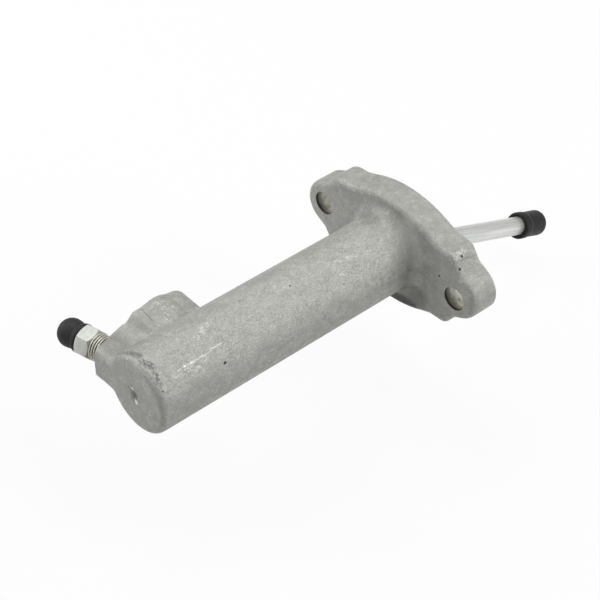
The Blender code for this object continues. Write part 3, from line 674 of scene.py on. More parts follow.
def cast_material():
    """Grey die-cast aluminium: fine worm-like flow marks, soft clouds, pores, scuffs and scratches."""
    n = material_nodes("cast_aluminium_skin")
    fine = n.noise(0.00050, 3, 0.6)
    grain = n.noise(0.0014, 3, 0.6)
    cloud = n.noise(0.010, 3, 0.55)
    patch = n.spread(n.noise(0.0035, 2, 0.5), 0.42, 0.62)
    curls = n.curls(0.0014, 0.055, 1.4)
    dark_curls = n.curls(0.0017, 0.040, 1.6)
    colour = n.mix(n.spread(grain, 0.34, 0.66), (0.318, 0.316, 0.295, 1), (0.385, 0.383, 0.358, 1))
    colour = n.paint(colour, n.spread(fine, 0.53, 0.66), 0.50, (0.53, 0.528, 0.50))
    colour = n.paint(colour, n.spread(fine, 0.44, 0.28), 0.50, (0.19, 0.19, 0.175))
    colour = n.paint(colour, n.spread(cloud, 0.45, 0.72), 0.22, (0.43, 0.428, 0.402))
    colour = n.paint(colour, n.times(curls, patch), 0.58, (0.62, 0.618, 0.585))
    faint = n.times(dark_curls, n.maths("SUBTRACT", 1.0, patch))
    colour = n.paint(colour, faint, 0.28, (0.17, 0.17, 0.155))

    # Brighter specks along the top of the barrel
    specks = n.most(n.spread(n.noise(0.00065, 2, 0.55), 0.52, 0.60), n.curls(0.0011, 0.06, 1.8))
    barrel_top_band = n.near_line((-0.1170, -0.0080, 0.0125), (-0.0300, -0.0055, 0.0135), 0.0150, 0.006, 0.012)
    colour = n.paint(colour, n.times(specks, barrel_top_band), 0.34, (0.66, 0.658, 0.625))

    # Small round pores
    pores = n.points((
        ((-0.09645, -0.01241, 0.00747), 0.00064),
        ((-0.00649, -0.02967, 0.01485), 0.0006),
        ((-0.00917, -0.03179, 0.01188), 0.0006),
        ((-0.0110, -0.02495, 0.00517), 0.0005),
        ((-0.0610, -0.0035, 0.0141), 0.00035),
        ((-0.0430, -0.0108, 0.0097), 0.0003),
        ((-0.0790, 0.0010, 0.0145), 0.0003),
    ))

    # A ragged, slightly bent scratch on the barrel with painted glints on it and nicks around it
    tip = n.near_line((-0.11305, -0.00876, 0.01154), (-0.11008, -0.00859, 0.01166), 0.00020, 0.00035, 0.0004)
    scratch = n.most(tip, n.lines(0.00045, 0.0004, (
        ((-0.11008, -0.00859, 0.01166), (-0.10548, -0.00864, 0.01163), 0.00046),
        ((-0.10548, -0.00864, 0.01163), (-0.10143, -0.00871, 0.01158), 0.00036),
        ((-0.10143, -0.00871, 0.01158), (-0.09888, -0.00850, 0.01172), 0.00022),
        ((-0.0992, -0.0081, 0.0120), (-0.0942, -0.0082, 0.0119), 0.00034),
    )))
    # Painted glints: near-white dots on the scratch
    scratch_glints = n.points((
        ((-0.1099, -0.0085, 0.0117), 0.0006),
        ((-0.1072, -0.0086, 0.0117), 0.0007),
    ))
    nick = n.near_line((-0.1145, -0.0096, 0.0109), (-0.1120, -0.0098, 0.0108), 0.0013, 0.0007, 0.0008)
    nicks = n.most(nick, n.lines(0.0008, 0.0008, (
        ((-0.1105, -0.0093, 0.0111), (-0.1085, -0.0098, 0.0107), 0.0013),
        ((-0.1076, -0.0101, 0.0104), (-0.1060, -0.0106, 0.0099), 0.0013),
        ((-0.1037, -0.0098, 0.0107), (-0.1020, -0.0100, 0.0105), 0.0010),
        ((-0.1196, -0.0106, 0.0099), (-0.1193, -0.0109, 0.0096), 0.0011),
        ((-0.0096, -0.0288, 0.0155), (-0.0050, -0.0290, 0.0153), 0.0016),
        ((-0.0985, 0.0218, 0.0094), (-0.0958, 0.0204, 0.0098), 0.0012),
        ((-0.0978, 0.0157, 0.0095), (-0.0994, 0.0135, 0.0092), 0.0011),
        ((-0.0948, 0.0180, 0.0094), (-0.0936, 0.0160, 0.0094), 0.0010),
        ((-0.1010, -0.0030, 0.0142), (-0.0975, -0.0022, 0.0144), 0.0013),
        ((-0.0968, -0.0009, 0.0145), (-0.0935, -0.0007, 0.0145), 0.0013),
        ((-0.0410, -0.0044, 0.0138), (-0.0326, -0.0058, 0.0133), 0.0010),
    )))
    nicks = n.times(nicks, n.spread(n.noise(0.0007, 2, 0.6), 0.47, 0.56))

    # Rough dark patches and a double line along the closed end's edge
    scuffs = n.lines(0.0012, 0.0009, (
        ((-0.1215, 0.0105, 0.0098), (-0.1212, 0.0068, 0.0127), 0.0011),
        ((-0.1208, 0.0064, 0.0128), (-0.1196, 0.0020, 0.0143), 0.0017),
        ((-0.1206, -0.0010, 0.0145), (-0.1193, -0.0042, 0.0138), 0.0017),
        ((-0.1198, -0.0056, 0.0134), (-0.1203, -0.0082, 0.0119), 0.0008),
        ((-0.1203, -0.0082, 0.0119), (-0.12075, -0.01072, 0.0097), 0.0010),
    ))
    scuffs = n.times(scuffs, n.spread(n.noise(0.0008, 2, 0.6), 0.60, 0.46))
    edge = n.lines(0.0003, 0.0008, (
        ((-0.12262, -0.0001, 0.0137), (-0.1225, -0.0062, 0.0124), 0.0004),
        ((-0.1225, -0.0062, 0.0124), (-0.1223, -0.0101, 0.0096), 0.0004),
    ))

    # Painted shade in the corner under the barrel, deepest in its core
    under_barrel_shade = n.near_line((-0.0110, -0.0060, -0.0185), (-0.0108, -0.0120, -0.0185), 0.0120, 0.0010, 0.0020)
    core = n.near_line((-0.0110, -0.0050, -0.0185), (-0.0108, -0.0135, -0.0185), 0.0058, 0.0010, 0.0015)
    under_barrel_shade = n.maths("ADD", n.times(under_barrel_shade, 0.40), n.times(core, 0.48))
    # More painted shade spreads along the flange beside the barrel's underside
    corner = n.near_line((-0.0140, -0.0118, -0.0092), (-0.0112, -0.0162, -0.0112), 0.0070, 0.0010, 0.0020)
    under_barrel_shade = n.most(under_barrel_shade, n.times(corner, 0.42))

    # Painted shade on the bleed screw's boss and at the barrel's root, and a painted patch of light where
    # the barrel flares out
    dull = n.near_line((-0.1165, 0.0205, 0.0040), (-0.1168, 0.0105, 0.0104), 0.0064, 0.0012, 0.0030)
    root = n.near_line((-0.0134, 0.0106, 0.0107), (-0.0165, 0.0045, 0.0138), 0.0042, 0.0010)
    dull = n.most(dull, root)
    pale = n.near_line((-0.0113, -0.0085, 0.0155), (-0.0120, -0.0142, 0.0070), 0.0052, 0.0012, 0.0025)

    # Painted shade along the crease across the pad and along the groove across the flange's rim
    crease = n.near_line((-0.1022, 0.0230, 0.0084), (-0.1029, 0.0168, 0.0084), 0.0004, 0.0003, 0.0008)
    groove = n.near_line((-0.0087, -0.0302, 0.0141), (-0.0012, -0.0310, 0.0131), 0.0006, 0.0004, 0.0008)

    # Painted shade in the dent in the middle of the closed end, and painted glints on its walls
    dent_shade = n.near_line((-0.1232, 0.0016, 0.0016), (-0.1232, 0.0003, -0.0016), 0.0024, 0.0014, 0.0011)
    dent_shade = n.times(dent_shade, n.spread(n.noise(0.0011, 2, 0.6), 0.62, 0.50))
    low_glint = n.near_line((-0.1232, -0.0006, -0.0022), (-0.1232, -0.0007, -0.0026), 0.0011, 0.0004)
    high_glint = n.near_line((-0.1232, 0.0018, 0.0022), (-0.1232, 0.0010, 0.0024), 0.0006, 0.0003)
    glint = n.most(low_glint, high_glint)
    glint = n.most(glint, n.near_point((-0.1232, -0.0007, 0.0002), 0.0006))

    # Among these, the boss and root shade, the flare's light patch, the scratch's glints, the shade under
    # the barrel, in the crease, groove and dent, and the dent's glints are painted light and shade
    for mask, share, tint in (
        (dull, 0.36, (0.15, 0.15, 0.137)),
        (pale, 0.38, (0.64, 0.64, 0.605)),
        (scratch, 0.72, (0.72, 0.72, 0.69)),
        (scratch_glints, 0.75, (0.88, 0.88, 0.85)),
        (scuffs, 0.70, (0.11, 0.11, 0.10)),
        (under_barrel_shade, 1.0, (0.050, 0.048, 0.042)),
        (edge, 0.40, (0.52, 0.52, 0.49)),
        (crease, 0.45, (0.13, 0.13, 0.12)),
        (groove, 0.35, (0.15, 0.15, 0.14)),
        (nicks, 0.60, (0.68, 0.68, 0.65)),
        (dent_shade, 0.60, (0.09, 0.09, 0.08)),
        (glint, 0.80, (0.90, 0.90, 0.87)),
        (pores, 0.92, (0.02, 0.02, 0.02)),
    ):
        colour = n.paint(colour, mask, share, tint)
    height = n.maths("ADD", n.times(fine, 0.75), n.times(grain, 0.8))
    height = n.maths("ADD", height, n.times(curls, 0.35))
    sunk = n.maths("ADD", n.times(pores, 3.0), n.times(scuffs, 0.8))
    normal = n.bump(n.maths("SUBTRACT", height, sunk), 0.00016)
    return n.finish(colour, n.spread(grain, 0.3, 0.7, 0.50, 0.62), 0.35, normal)


def machined_material(name, colour):
    """Cut metal with fine tool marks along the bore."""
    n = material_nodes(name)
    marks = n.noise(0.00022, 2, 0.5, (0.6, 6.0, 6.0))
    tone = n.mix(n.spread(marks, 0.35, 0.65), dimmed(colour, 0.78), (*colour, 1))
    return n.finish(tone, 0.32, 0.85, n.bump(marks, 0.00002))


def milled_material():
    """Milled aluminium: bright and even, with fine straight tool marks."""
    n = material_nodes("milled_faces")
    marks = n.noise(0.00028, 2, 0.5, (1.0, 1.0, 40.0))
    cloud = n.noise(0.006, 2, 0.5)
    tone = n.mix(n.spread(marks, 0.35, 0.65), (0.50, 0.495, 0.475, 1), (0.60, 0.595, 0.575, 1))
    tone = n.paint(tone, n.spread(cloud, 0.45, 0.70), 0.25, (0.46, 0.455, 0.435))
    return n.finish(tone, 0.42, 0.55, n.bump(marks, 0.000015))


def bolt_hole_material():
    """Drilled bolt holes: dull grey walls, with painted shade as a dark rim just inside the near edge and
    painted light deeper in.
    """
    n = material_nodes("bolt_hole_walls")
    near_face = -FLANGE_THICKNESS
    split = n.add("ShaderNodeSeparateXYZ")
    n.put(split.inputs[0], n.place)
    ragged = n.times(n.maths("SUBTRACT", n.noise(0.0012, 2, 0.5), 0.5), 0.0007)
    depth = n.maths("ADD", split.outputs["X"], ragged)
    # Painted shade just inside the near edge, painted light deeper in the hole
    inner = n.spread(depth, near_face + 0.0006, near_face + 0.0017)
    deep_painted_light = n.spread(depth, near_face + 0.0016, near_face + 0.0036)
    cloud = n.spread(n.noise(0.0016, 3, 0.6), 0.42, 0.62)
    grey = n.mix(deep_painted_light, (0.36, 0.345, 0.31, 1), (0.94, 0.94, 0.87, 1))
    grey = n.paint(grey, cloud, 0.45, (0.26, 0.245, 0.21))
    tone = n.mix(inner, (0.030, 0.028, 0.024, 1), grey)
    return n.finish(tone, 0.55, 0.2, n.bump(n.noise(0.0004, 2, 0.5, (0.6, 4.0, 4.0)), 0.00003))


def zinc_material(name, colour, roughness=0.28, metallic=0.85, stained=0.0):
    """Zinc-plated steel with faint clouds and a yellow-brown stain where asked."""
    n = material_nodes(name)
    cloud = n.noise(0.0022, 3, 0.6)
    fine = n.noise(0.0004, 2, 0.5)
    tone = n.mix(n.spread(cloud, 0.35, 0.7), dimmed(colour, 0.86), (*colour, 1))
    if stained:
        tone = n.paint(tone, n.spread(cloud, 0.3, 0.6), stained, (0.27, 0.255, 0.19))
    rough = n.spread(fine, 0.3, 0.7, roughness, roughness + 0.14)
    return n.finish(tone, rough, metallic, n.bump(fine, 0.00001))


def thread_material():
    """Zinc-plated thread: bright crests, with painted shade making the grooves dark and slightly olive."""
    n = material_nodes("thread_zinc")
    offset = n.vector("SUBTRACT", n.place, tuple(BLEED_FACE_POINT))
    along = n.vector("DOT_PRODUCT", offset, tuple(BLEED_DIRECTION))
    whole = n.vector("LENGTH", offset)
    across = n.maths("SUBTRACT", n.times(whole, whole), n.times(along, along))
    radius = n.maths("SQRT", n.most(across, 0.0))
    # Darker towards the thread's root: painted shade in the grooves
    height = n.spread(radius, SCREW_RADIUS - THREAD_DEPTH * 0.85, SCREW_RADIUS - THREAD_DEPTH * 0.25)
    tone = n.mix(height, (0.060, 0.058, 0.045, 1), (0.62, 0.61, 0.55, 1))
    return n.finish(tone, n.spread(height, 0.0, 1.0, 0.7, 0.40), 0.5)


def drawn_steel_material():
    """Bright drawn rod with faint lengthwise lines and small dull patches."""
    n = material_nodes("drawn_rod_steel")
    turn = n.add("ShaderNodeVectorRotate", rotation_type="Y_AXIS")
    n.put(turn.inputs["Vector"], n.place)
    turn.inputs["Angle"].default_value = -ROD_DROOP
    lines = n.noise_of(n.vector("MULTIPLY", turn.outputs[0], (1 / 0.03, 1 / 0.0006, 1 / 0.0006)))
    cloud = n.noise(0.005, 3, 0.6)
    tone = n.mix(n.spread(lines, 0.35, 0.65), (0.62, 0.63, 0.605, 1), (0.76, 0.77, 0.745, 1))
    tone = n.paint(tone, n.spread(cloud, 0.55, 0.75), 0.25, (0.58, 0.58, 0.56))
    return n.finish(tone, n.spread(cloud, 0.3, 0.7, 0.30, 0.42), 0.70, n.bump(lines, 0.00001))


def rubber_material(name, tone, roughness):
    """Black rubber or plastic with a fine skin and a trace of dust."""
    n = material_nodes(name)
    fine = n.noise(0.0005, 3, 0.6)
    cloud = n.noise(0.004, 3, 0.6)
    dark = (tone, tone, tone * 1.05, 1)
    dusty = (tone * 2.0, tone * 2.0, tone * 2.05)
    colour = n.paint(dark, n.spread(cloud, 0.4, 0.75), 0.6, dusty)
    rough = n.spread(fine, 0.3, 0.7, roughness, roughness + 0.12)
    return n.finish(colour, rough, 0.0, n.bump(fine, 0.00002), specular=0.25)


def steel_material(name, colour, roughness):
    """Dark spring or clip steel with an oily film."""
    n = material_nodes(name)
    cloud = n.noise(0.003, 3, 0.6)
    tone = n.mix(n.spread(cloud, 0.35, 0.7), dimmed(colour, 0.7), (*colour, 1))
    rough = n.spread(cloud, 0.3, 0.7, roughness, roughness + 0.15)
    return n.finish(tone, rough, 0.9, n.bump(cloud, 0.00001))


# The casting

def flange_quarter(knuckle_rounding):
    """Outline points (y, z) of the flange from its top middle to the ear's far point."""
    centre_z = FLANGE_HALF_HEIGHT - FLANGE_ARC_RADIUS
    end_angle = math.acos(FLANGE_ARC_END / FLANGE_ARC_RADIUS)
    points = arc((0, centre_z), FLANGE_ARC_RADIUS, math.pi / 2, end_angle, 10)
    points.append(KNUCKLE_START)
    points += rounded_corner(KNUCKLE_START, KNUCKLE_CORNER, NOTCH_CORNER, knuckle_rounding)
    reach = Vector(NOTCH_CORNER) - Vector((BOLT_Y, 0))
    tangent = math.atan2(reach.y, reach.x) - math.acos(EAR_RADIUS / reach.length)
    touch = (BOLT_Y + EAR_RADIUS * math.cos(tangent), EAR_RADIUS * math.sin(tangent))
    points += rounded_corner(KNUCKLE_CORNER, NOTCH_CORNER, touch, NOTCH_ROUNDING, 6)
    points += arc((BOLT_Y, 0), EAR_RADIUS, tangent, 0, 10)
    return points


def flange_outline():
    """The whole flange outline, with softer knuckles on the port's side, turned a little."""
    halves = []
    for rounding in (SOFT_KNUCKLE_ROUNDING, KNUCKLE_ROUNDING):
        quarter = flange_quarter(rounding)
        halves.append(quarter + [(y, -z) for y, z in reversed(quarter[:-1])])
    points = halves[0] + [(-y, z) for y, z in reversed(halves[1][1:-1])]
    cos = math.cos(OUTLINE_TURN)
    sin = math.sin(OUTLINE_TURN)
    return [(y * cos + z * sin, z * cos - y * sin) for y, z in points]


def rough_flange():
    """The flange as cast, with its near edge rounded and stock left on the mounting face."""
    def place(y, z, far):
        return (-FLANGE_THICKNESS * (1 - far) + STOCK * far, y, z)

    flange = prism("casting", flange_outline(), place)
    mesh = flange.data
    weights = mesh.attributes.new("bevel_weight_edge", "FLOAT", "EDGE")
    for edge in mesh.edges:
        near = all(abs(mesh.vertices[v].co.x + FLANGE_THICKNESS) < 1e-6 for v in edge.vertices)
        weights.data[edge.index].value = 1.0 if near else 0.0
    bevel = flange.modifiers.new("cast edge", "BEVEL")
    bevel.limit_method = "WEIGHT"
    bevel.width = FLANGE_EDGE_ROUNDING
    bevel.segments = 6
    bevel.use_clamp_overlap = False
    return bake(flange)


def rough_barrel():
    """The barrel as cast, with its rounded closed end and the flare into the flange."""
    flare_outer = BARREL_RADIUS + FLARE_RADIUS
    profile = [(-0.004, 0), (-0.004, flare_outer), (-FLANGE_THICKNESS + 0.0001, flare_outer)]
    flare_centre = (-FLANGE_THICKNESS - FLARE_RADIUS, flare_outer)
    profile += arc(flare_centre, FLARE_RADIUS, 0, -math.pi / 2, 12)[1:]
    edge_centre = (CLOSED_END_X + END_ROUNDING, BARREL_RADIUS - END_ROUNDING)
    profile += arc(edge_centre, END_ROUNDING, math.pi / 2, math.pi, 10)
    profile.append((CLOSED_END_X, 0))
    return turned_on_bore("rough_barrel", profile, 128)


def rough_boss():
    """The bleed screw's boss as cast, with stock left on its face."""
    foot = (CLOSED_END_X, BLOCK_BOTTOM)
    corner = (CLOSED_END_X, BOSS_END_TOP)
    shoulder_end = (CLOSED_END_X + PAD_FOOT + BOSS_OVERLAP, BOSS_TOP)
    outline = [foot] + rounded_corner(foot, corner, shoulder_end, BOSS_SHOULDER_RADIUS)
    outline += [shoulder_end, (shoulder_end[0], BLOCK_BOTTOM)]
    lean = math.tan(BLEED_DROOP)

    def place(x, z, far):
        y = (BLOCK_FACE_Y + STOCK) * far + 0.001
        return (x, y, z - (y - BLEED_FACE_POINT.y) * lean)

    return prism("rough_boss", outline, place)


def rough_pad():
    """The taller pad between the bleed screw's boss and the port's boss, with stock."""
    foot = (CLOSED_END_X + PAD_FOOT, PAD_FOOT_TOP)
    corner = (CLOSED_END_X + PAD_BACK, PAD_BACK_TOP)
    crease = (CLOSED_END_X + PAD_CREASE, PAD_BACK_TOP)
    outline = [(foot[0], BLOCK_BOTTOM), foot]
    outline += rounded_corner(foot, corner, crease, PAD_ROUNDING)
    outline += [
        crease,
        (CLOSED_END_X + PAD_CREST_START, PAD_CREST_START_TOP),
        (CLOSED_END_X + PAD_CREST, PAD_CREST_TOP),
        (CLOSED_END_X + PAD_CREST_END, PAD_CREST_END_TOP),
        (PORT_X, PORT_BOSS_RADIUS - 0.0001),
        (PORT_X, BLOCK_BOTTOM),
    ]

    def place(x, z, far):
        return (x, (BLOCK_FACE_Y + STOCK) * far + 0.0005 * (1 - far), z)

    return prism("rough_pad", outline, place)


def bore_cutter():
    """The stepped bore with the ring groove, the washer's seat and the mouth's chamfer."""
    profile = [
        (MOUTH_CHAMFER, 0),
        (MOUTH_CHAMFER, MOUTH_RADIUS + 2 * MOUTH_CHAMFER),
        (-MOUTH_CHAMFER, MOUTH_RADIUS),
        (GROOVE_FRONT_X, MOUTH_RADIUS),
        (GROOVE_FRONT_X, GROOVE_RADIUS),
        (GROOVE_BACK_X, GROOVE_RADIUS),
        (GROOVE_BACK_X, MOUTH_RADIUS),
        (MOUTH_BACK_X, MOUTH_RADIUS),
        (MOUTH_BACK_X, BORE_RADIUS + 0.0004),
        (MOUTH_BACK_X - 0.0006, BORE_RADIUS),
        (BORE_END_X + 0.0008, BORE_RADIUS),
        (BORE_END_X, BORE_RADIUS - 0.0010),
        (BORE_END_X, 0),
    ]
    return turned_on_bore("bore_cutter", profile)


def bleed_cutter():
    """The bleed screw's hole, its conical seat and the passage to the bore."""
    seat = BLEED_HOLE_DEPTH + (BLEED_HOLE_RADIUS - BLEED_PASSAGE_RADIUS) / math.tan(DRILL_POINT)
    passage_end = BLEED_FACE_Y - BORE_RADIUS + PASSAGE_OVERRUN
    profile = [
        (0, 0.004),
        (BLEED_HOLE_RADIUS, 0.004),
        (BLEED_HOLE_RADIUS, -BLEED_HOLE_DEPTH),
        (BLEED_PASSAGE_RADIUS, -seat),
        (BLEED_PASSAGE_RADIUS, -passage_end),
        (0, -passage_end),
    ]
    return point_along(turned("bleed_cutter", profile, 64), BLEED_FACE_POINT, BLEED_DIRECTION)


def port_cutter():
    """The inlet port's threaded hole, drill point and passage to the bore."""
    cone = (PORT_THREAD_RADIUS - PORT_PASSAGE_RADIUS) / math.tan(DRILL_POINT)
    passage_end = BLOCK_FACE_Y - BORE_RADIUS + PASSAGE_OVERRUN
    profile = [(0, 0.001), (PORT_THREAD_RADIUS + 0.0014, 0.001), (PORT_THREAD_RADIUS, -0.0006)]
    depth = PORT_THREAD_PITCH
    while depth < PORT_THREAD_DEPTH - 1.5 * PORT_THREAD_PITCH:
        profile.append((PORT_THREAD_RADIUS, -depth))
        profile.append((PORT_THREAD_RADIUS - PORT_THREAD_PITCH / 2, -depth - PORT_THREAD_PITCH / 2))
        depth += PORT_THREAD_PITCH
    profile += [
        (PORT_THREAD_RADIUS, -PORT_THREAD_DEPTH + PORT_THREAD_PITCH),
        (PORT_THREAD_RADIUS, -PORT_THREAD_DEPTH),
        (PORT_PASSAGE_RADIUS, -PORT_THREAD_DEPTH - cone),
        (PORT_PASSAGE_RADIUS, -passage_end),
        (0, -passage_end),
    ]
    cutter = turned("port_cutter", profile, 64)
    return point_along(cutter, (PORT_X, BLOCK_FACE_Y, 0), (0, 1, 0))


def dimple_cutter():
    """The small cone in the middle of the closed end."""
    profile = [(0, 0.0004), (CENTRE_DIMPLE_RADIUS + 0.0004, 0.0004), (0, -CENTRE_DIMPLE_DEPTH)]
    return point_along(turned("dimple_cutter", profile, 48), (CLOSED_END_X, 0, 0), (-1, 0, 0))


def mark_faces(obj, test, index):
    """Give the faces that pass a test another material slot."""
    for face in obj.data.polygons:
        if test(face.center, face.normal):
            face.material_index = index


def make_casting():
    """The casting: cast shapes fused and softened, then the machined faces and holes cut."""
    body = rough_flange()
    port_boss = cylinder_along(
        "rough_port_boss", (PORT_X, 0.0003, 0), (0, 1, 0), PORT_BOSS_RADIUS,
        BLOCK_FACE_Y + STOCK - 0.0003,
    )
    for rough in (rough_barrel(), rough_boss(), rough_pad(), port_boss):
        apply_boolean(body, rough, "UNION")
    remesh = body.modifiers.new("skin", "REMESH")
    remesh.mode = "VOXEL"
    remesh.voxel_size = CAST_VOXEL
    smooth = body.modifiers.new("soften", "SMOOTH")
    smooth.factor = 0.5
    smooth.iterations = CAST_SMOOTHING
    bake(body)

    # Machined faces, with cutters that reach well past the stock
    cut(
        body,
        box("front_stock", (0, -0.06, -0.04), (0.01, 0.06, 0.04)),
        box("pad_stock", (-0.109, BLOCK_FACE_Y, -0.02), (-0.078, 0.032, 0.02)),
        cylinder_along("boss_stock", BLEED_FACE_POINT, BLEED_DIRECTION, 0.016, 0.02),
    )

    # Machined holes
    cut(body, bore_cutter(), bleed_cutter(), port_cutter())
    for y in (BOLT_Y, -BOLT_Y):
        cut(body, cylinder_along("bolt_cutter", (-0.013, y, 0), (1, 0, 0), BOLT_HOLE_RADIUS, 0.015))
    cut(body, dimple_cutter())
    drop_folds(body)

    freeze(body)
    set_materials(
        body,
        cast_material(),
        machined_material("machined_holes", (0.70, 0.68, 0.63)),
        bolt_hole_material(),
        milled_material(),
    )

    def in_hole(centre, normal):
        near_axis = math.hypot(centre.y, centre.z) < GROOVE_RADIUS + 0.0002
        inward = normal.y * centre.y + normal.z * centre.z < 0
        return near_axis and inward and BORE_END_X - 0.0001 < centre.x < 0.0

    def in_bolt_hole(centre, normal):
        away = min(math.hypot(centre.y - y, centre.z) for y in (BOLT_Y, -BOLT_Y))
        return away < BOLT_HOLE_RADIUS + 0.00005 and abs(normal.x) < 0.5

    def milled(centre, normal):
        on_front = centre.x > -0.00001
        on_pad = normal.y > 0.999 and abs(centre.y - BLOCK_FACE_Y) < 0.00002
        past_boss = abs((centre - BLEED_FACE_POINT).dot(BLEED_DIRECTION))
        return on_front or on_pad or (normal.dot(BLEED_DIRECTION) > 0.999 and past_boss < 0.00002)

    mark_faces(body, in_hole, 1)
    mark_faces(body, in_bolt_hole, 2)
    mark_faces(body, milled, 3)
    shade(body, 30)
    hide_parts("cylinder_body")
    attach(body, "cylinder")


# The bleed screw and its cap

def on_bleed_face(obj):
    """Stand an object on the bleed screw's face, along the screw."""
    return freeze(point_along(obj, BLEED_FACE_POINT, BLEED_DIRECTION))


def make_bleed_screw():
    """The bleed screw with its thread, hexagon and barbed nipple."""
    apex = -BLEED_HOLE_DEPTH - BLEED_HOLE_RADIUS / math.tan(DRILL_POINT) + GAP / math.sin(DRILL_POINT)
    tip_radius = SCREW_BORE_RADIUS + 0.0002
    root = SCREW_RADIUS - THREAD_DEPTH
    core_profile = [
        (0, HEX_BASE + 0.0006),
        (root - 0.00002, HEX_BASE + 0.0006),
        (root - 0.00002, SCREW_THREAD_END),
        (SCREW_NECK_RADIUS, SCREW_THREAD_END - 0.0003),
        (SCREW_NECK_RADIUS, apex + SCREW_NECK_RADIUS / math.tan(DRILL_POINT)),
        (tip_radius, apex + tip_radius / math.tan(DRILL_POINT)),
        (0, apex + tip_radius / math.tan(DRILL_POINT)),
    ]
    core = on_bleed_face(turned("bleed_core", core_profile))
    metal = thread_material()
    dress(core, metal, 40)
    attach(core, "bleed_screw")

    # One tooth of the thread, swept along a right-handed helix
    crest = SCREW_RADIUS - 0.00003
    under = root - THREAD_DEPTH * 0.5
    tooth = [(radius, SCREW_THREAD_END + SCREW_PITCH * share) for radius, share in (
        (root, 0),
        (root, 0.14),
        (crest, 0.46),
        (crest, 0.68),
        (root, 0.98),
        (under, 0.98),
        (under, 0),
    )]
    turns = int((HEX_BASE + 0.0012 - SCREW_THREAD_END - SCREW_PITCH) / SCREW_PITCH)
    thread = section("bleed_thread", tooth, True)
    add_screw(thread, HELIX_STEPS, SCREW_PITCH, turns)
    bake(thread)
    close_ends(thread)
    on_bleed_face(thread)
    dress(thread, metal, 25)
    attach(thread, "bleed_screw")

    # The hexagon, chamfered by a turned envelope, with its underside stained and darkened by painted shade
    corner_radius = HEX_ACROSS_FLATS / 2 / math.cos(math.pi / 6)
    hexagon = cylinder_along(
        "bleed_hexagon", BLEED_FACE_POINT + BLEED_DIRECTION * HEX_BASE, BLEED_DIRECTION,
        corner_radius, HEX_TOP - HEX_BASE, 6,
    )
    turn = Quaternion((0, 0, 1), HEX_TURN)
    hexagon.rotation_euler = (BLEED_DIRECTION.to_track_quat("Z", "Y") @ turn).to_euler()
    freeze(hexagon)
    chamfer = [
        (0, HEX_TOP + 0.0002),
        (HEX_ACROSS_FLATS / 2 - 0.0003, HEX_TOP + 0.0002),
        (corner_radius + 0.0006, HEX_TOP - 0.0008),
        (corner_radius + 0.0006, HEX_BASE + 0.0014),
        (HEX_ACROSS_FLATS / 2 - 0.0003, HEX_BASE - 0.0002),
        (0, HEX_BASE - 0.0002),
    ]
    apply_boolean(hexagon, on_bleed_face(turned("envelope", chamfer)), "INTERSECT")
    axial_start = BLEED_FACE_POINT + BLEED_DIRECTION * 0.001
    axial = cylinder_along("axial", axial_start, BLEED_DIRECTION, NIPPLE_NECK_RADIUS, 0.02, 48)
    cut(hexagon, freeze(axial))
    bevel = hexagon.modifiers.new("edges", "BEVEL")
    bevel.width = HEX_BEVEL
    bevel.segments = 2
    bevel.limit_method = "ANGLE"
    bevel.angle_limit = math.radians(40)
    bake(hexagon)
    set_materials(
        hexagon,
        zinc_material("hexagon_zinc", (0.64, 0.66, 0.61), 0.50, 0.30),
        zinc_material("hexagon_edge", (0.40, 0.385, 0.31), 0.50, 0.30, 0.5),
    )

    # The underside takes the darker, stained zinc: a stain together with painted shade
    def underside(centre, normal):
        low = (centre - BLEED_FACE_POINT).dot(BLEED_DIRECTION) < HEX_BASE + 0.0016
        return low and normal.dot(BLEED_DIRECTION) < -0.25

    mark_faces(hexagon, underside, 1)
    shade(hexagon, 25)
    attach(hexagon, "bleed_screw")

    neck = NIPPLE_NECK_RADIUS - 0.00005
    nipple_profile = [
        (SCREW_BORE_RADIUS, NIPPLE_TOP),
        (NIPPLE_NECK_RADIUS - 0.0005, NIPPLE_TOP),
        (NIPPLE_BARB_RADIUS, NIPPLE_TOP - 0.0024),
        (NIPPLE_BARB_RADIUS, NIPPLE_TOP - 0.0030),
        (neck, NIPPLE_TOP - 0.0036),
        (neck, HEX_BASE + 0.0008),
        (SCREW_BORE_RADIUS, HEX_BASE + 0.0008),
    ]
    nipple = on_bleed_face(turned("bleed_nipple", nipple_profile, 64, closed=True))
    dress(nipple, zinc_material("nipple_zinc", (0.80, 0.79, 0.74), 0.30), 35)
    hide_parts("bleed_screw")
    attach(nipple, "bleed_screw")


def make_bleed_cap():
    """The rubber cap over the nipple: a lipped cup with a domed end."""
    top = BLEED_CAP_START + BLEED_CAP_LENGTH
    cavity_radius = NIPPLE_BARB_RADIUS + GAP
    dome_centre = (BLEED_CAP_RADIUS - BLEED_CAP_DOME, top - BLEED_CAP_DOME)
    outer = [
        (BLEED_CAP_RADIUS, top - BLEED_CAP_DOME),
        (BLEED_CAP_RADIUS - 0.0001, BLEED_CAP_START + 0.0042),
        (BLEED_CAP_WAIST_RADIUS, BLEED_CAP_START + 0.0024),
        (BLEED_CAP_WAIST_RADIUS, BLEED_CAP_START + 0.0016),
        (BLEED_CAP_LIP_RADIUS, BLEED_CAP_START + 0.0011),
        (BLEED_CAP_LIP_RADIUS, BLEED_CAP_START),
        (cavity_radius, BLEED_CAP_START),
        (cavity_radius, NIPPLE_TOP - 0.0010),
        (cavity_radius - 0.0008, NIPPLE_TOP + GAP),
        (0, NIPPLE_TOP + GAP),
    ]
    profile = [(0, top)] + arc(dome_centre, BLEED_CAP_DOME, math.pi / 2, 0, 14)[:-1]
    profile += rounded_profile(outer, 0.0004)
    cap = on_bleed_face(turned("rubber_bleed_cap", profile))
    dress(cap, rubber_material("bleed_cap_rubber", 0.017, 0.52), 40)
    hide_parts("bleed_cap")
    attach(cap, "bleed_cap")


# The push rod and its cap

def on_rod(obj):
    """Stand an object on the rod's pivot, along the rod."""
    return freeze(point_along(obj, (ROD_PIVOT_X, 0, 0), ROD_DIRECTION))


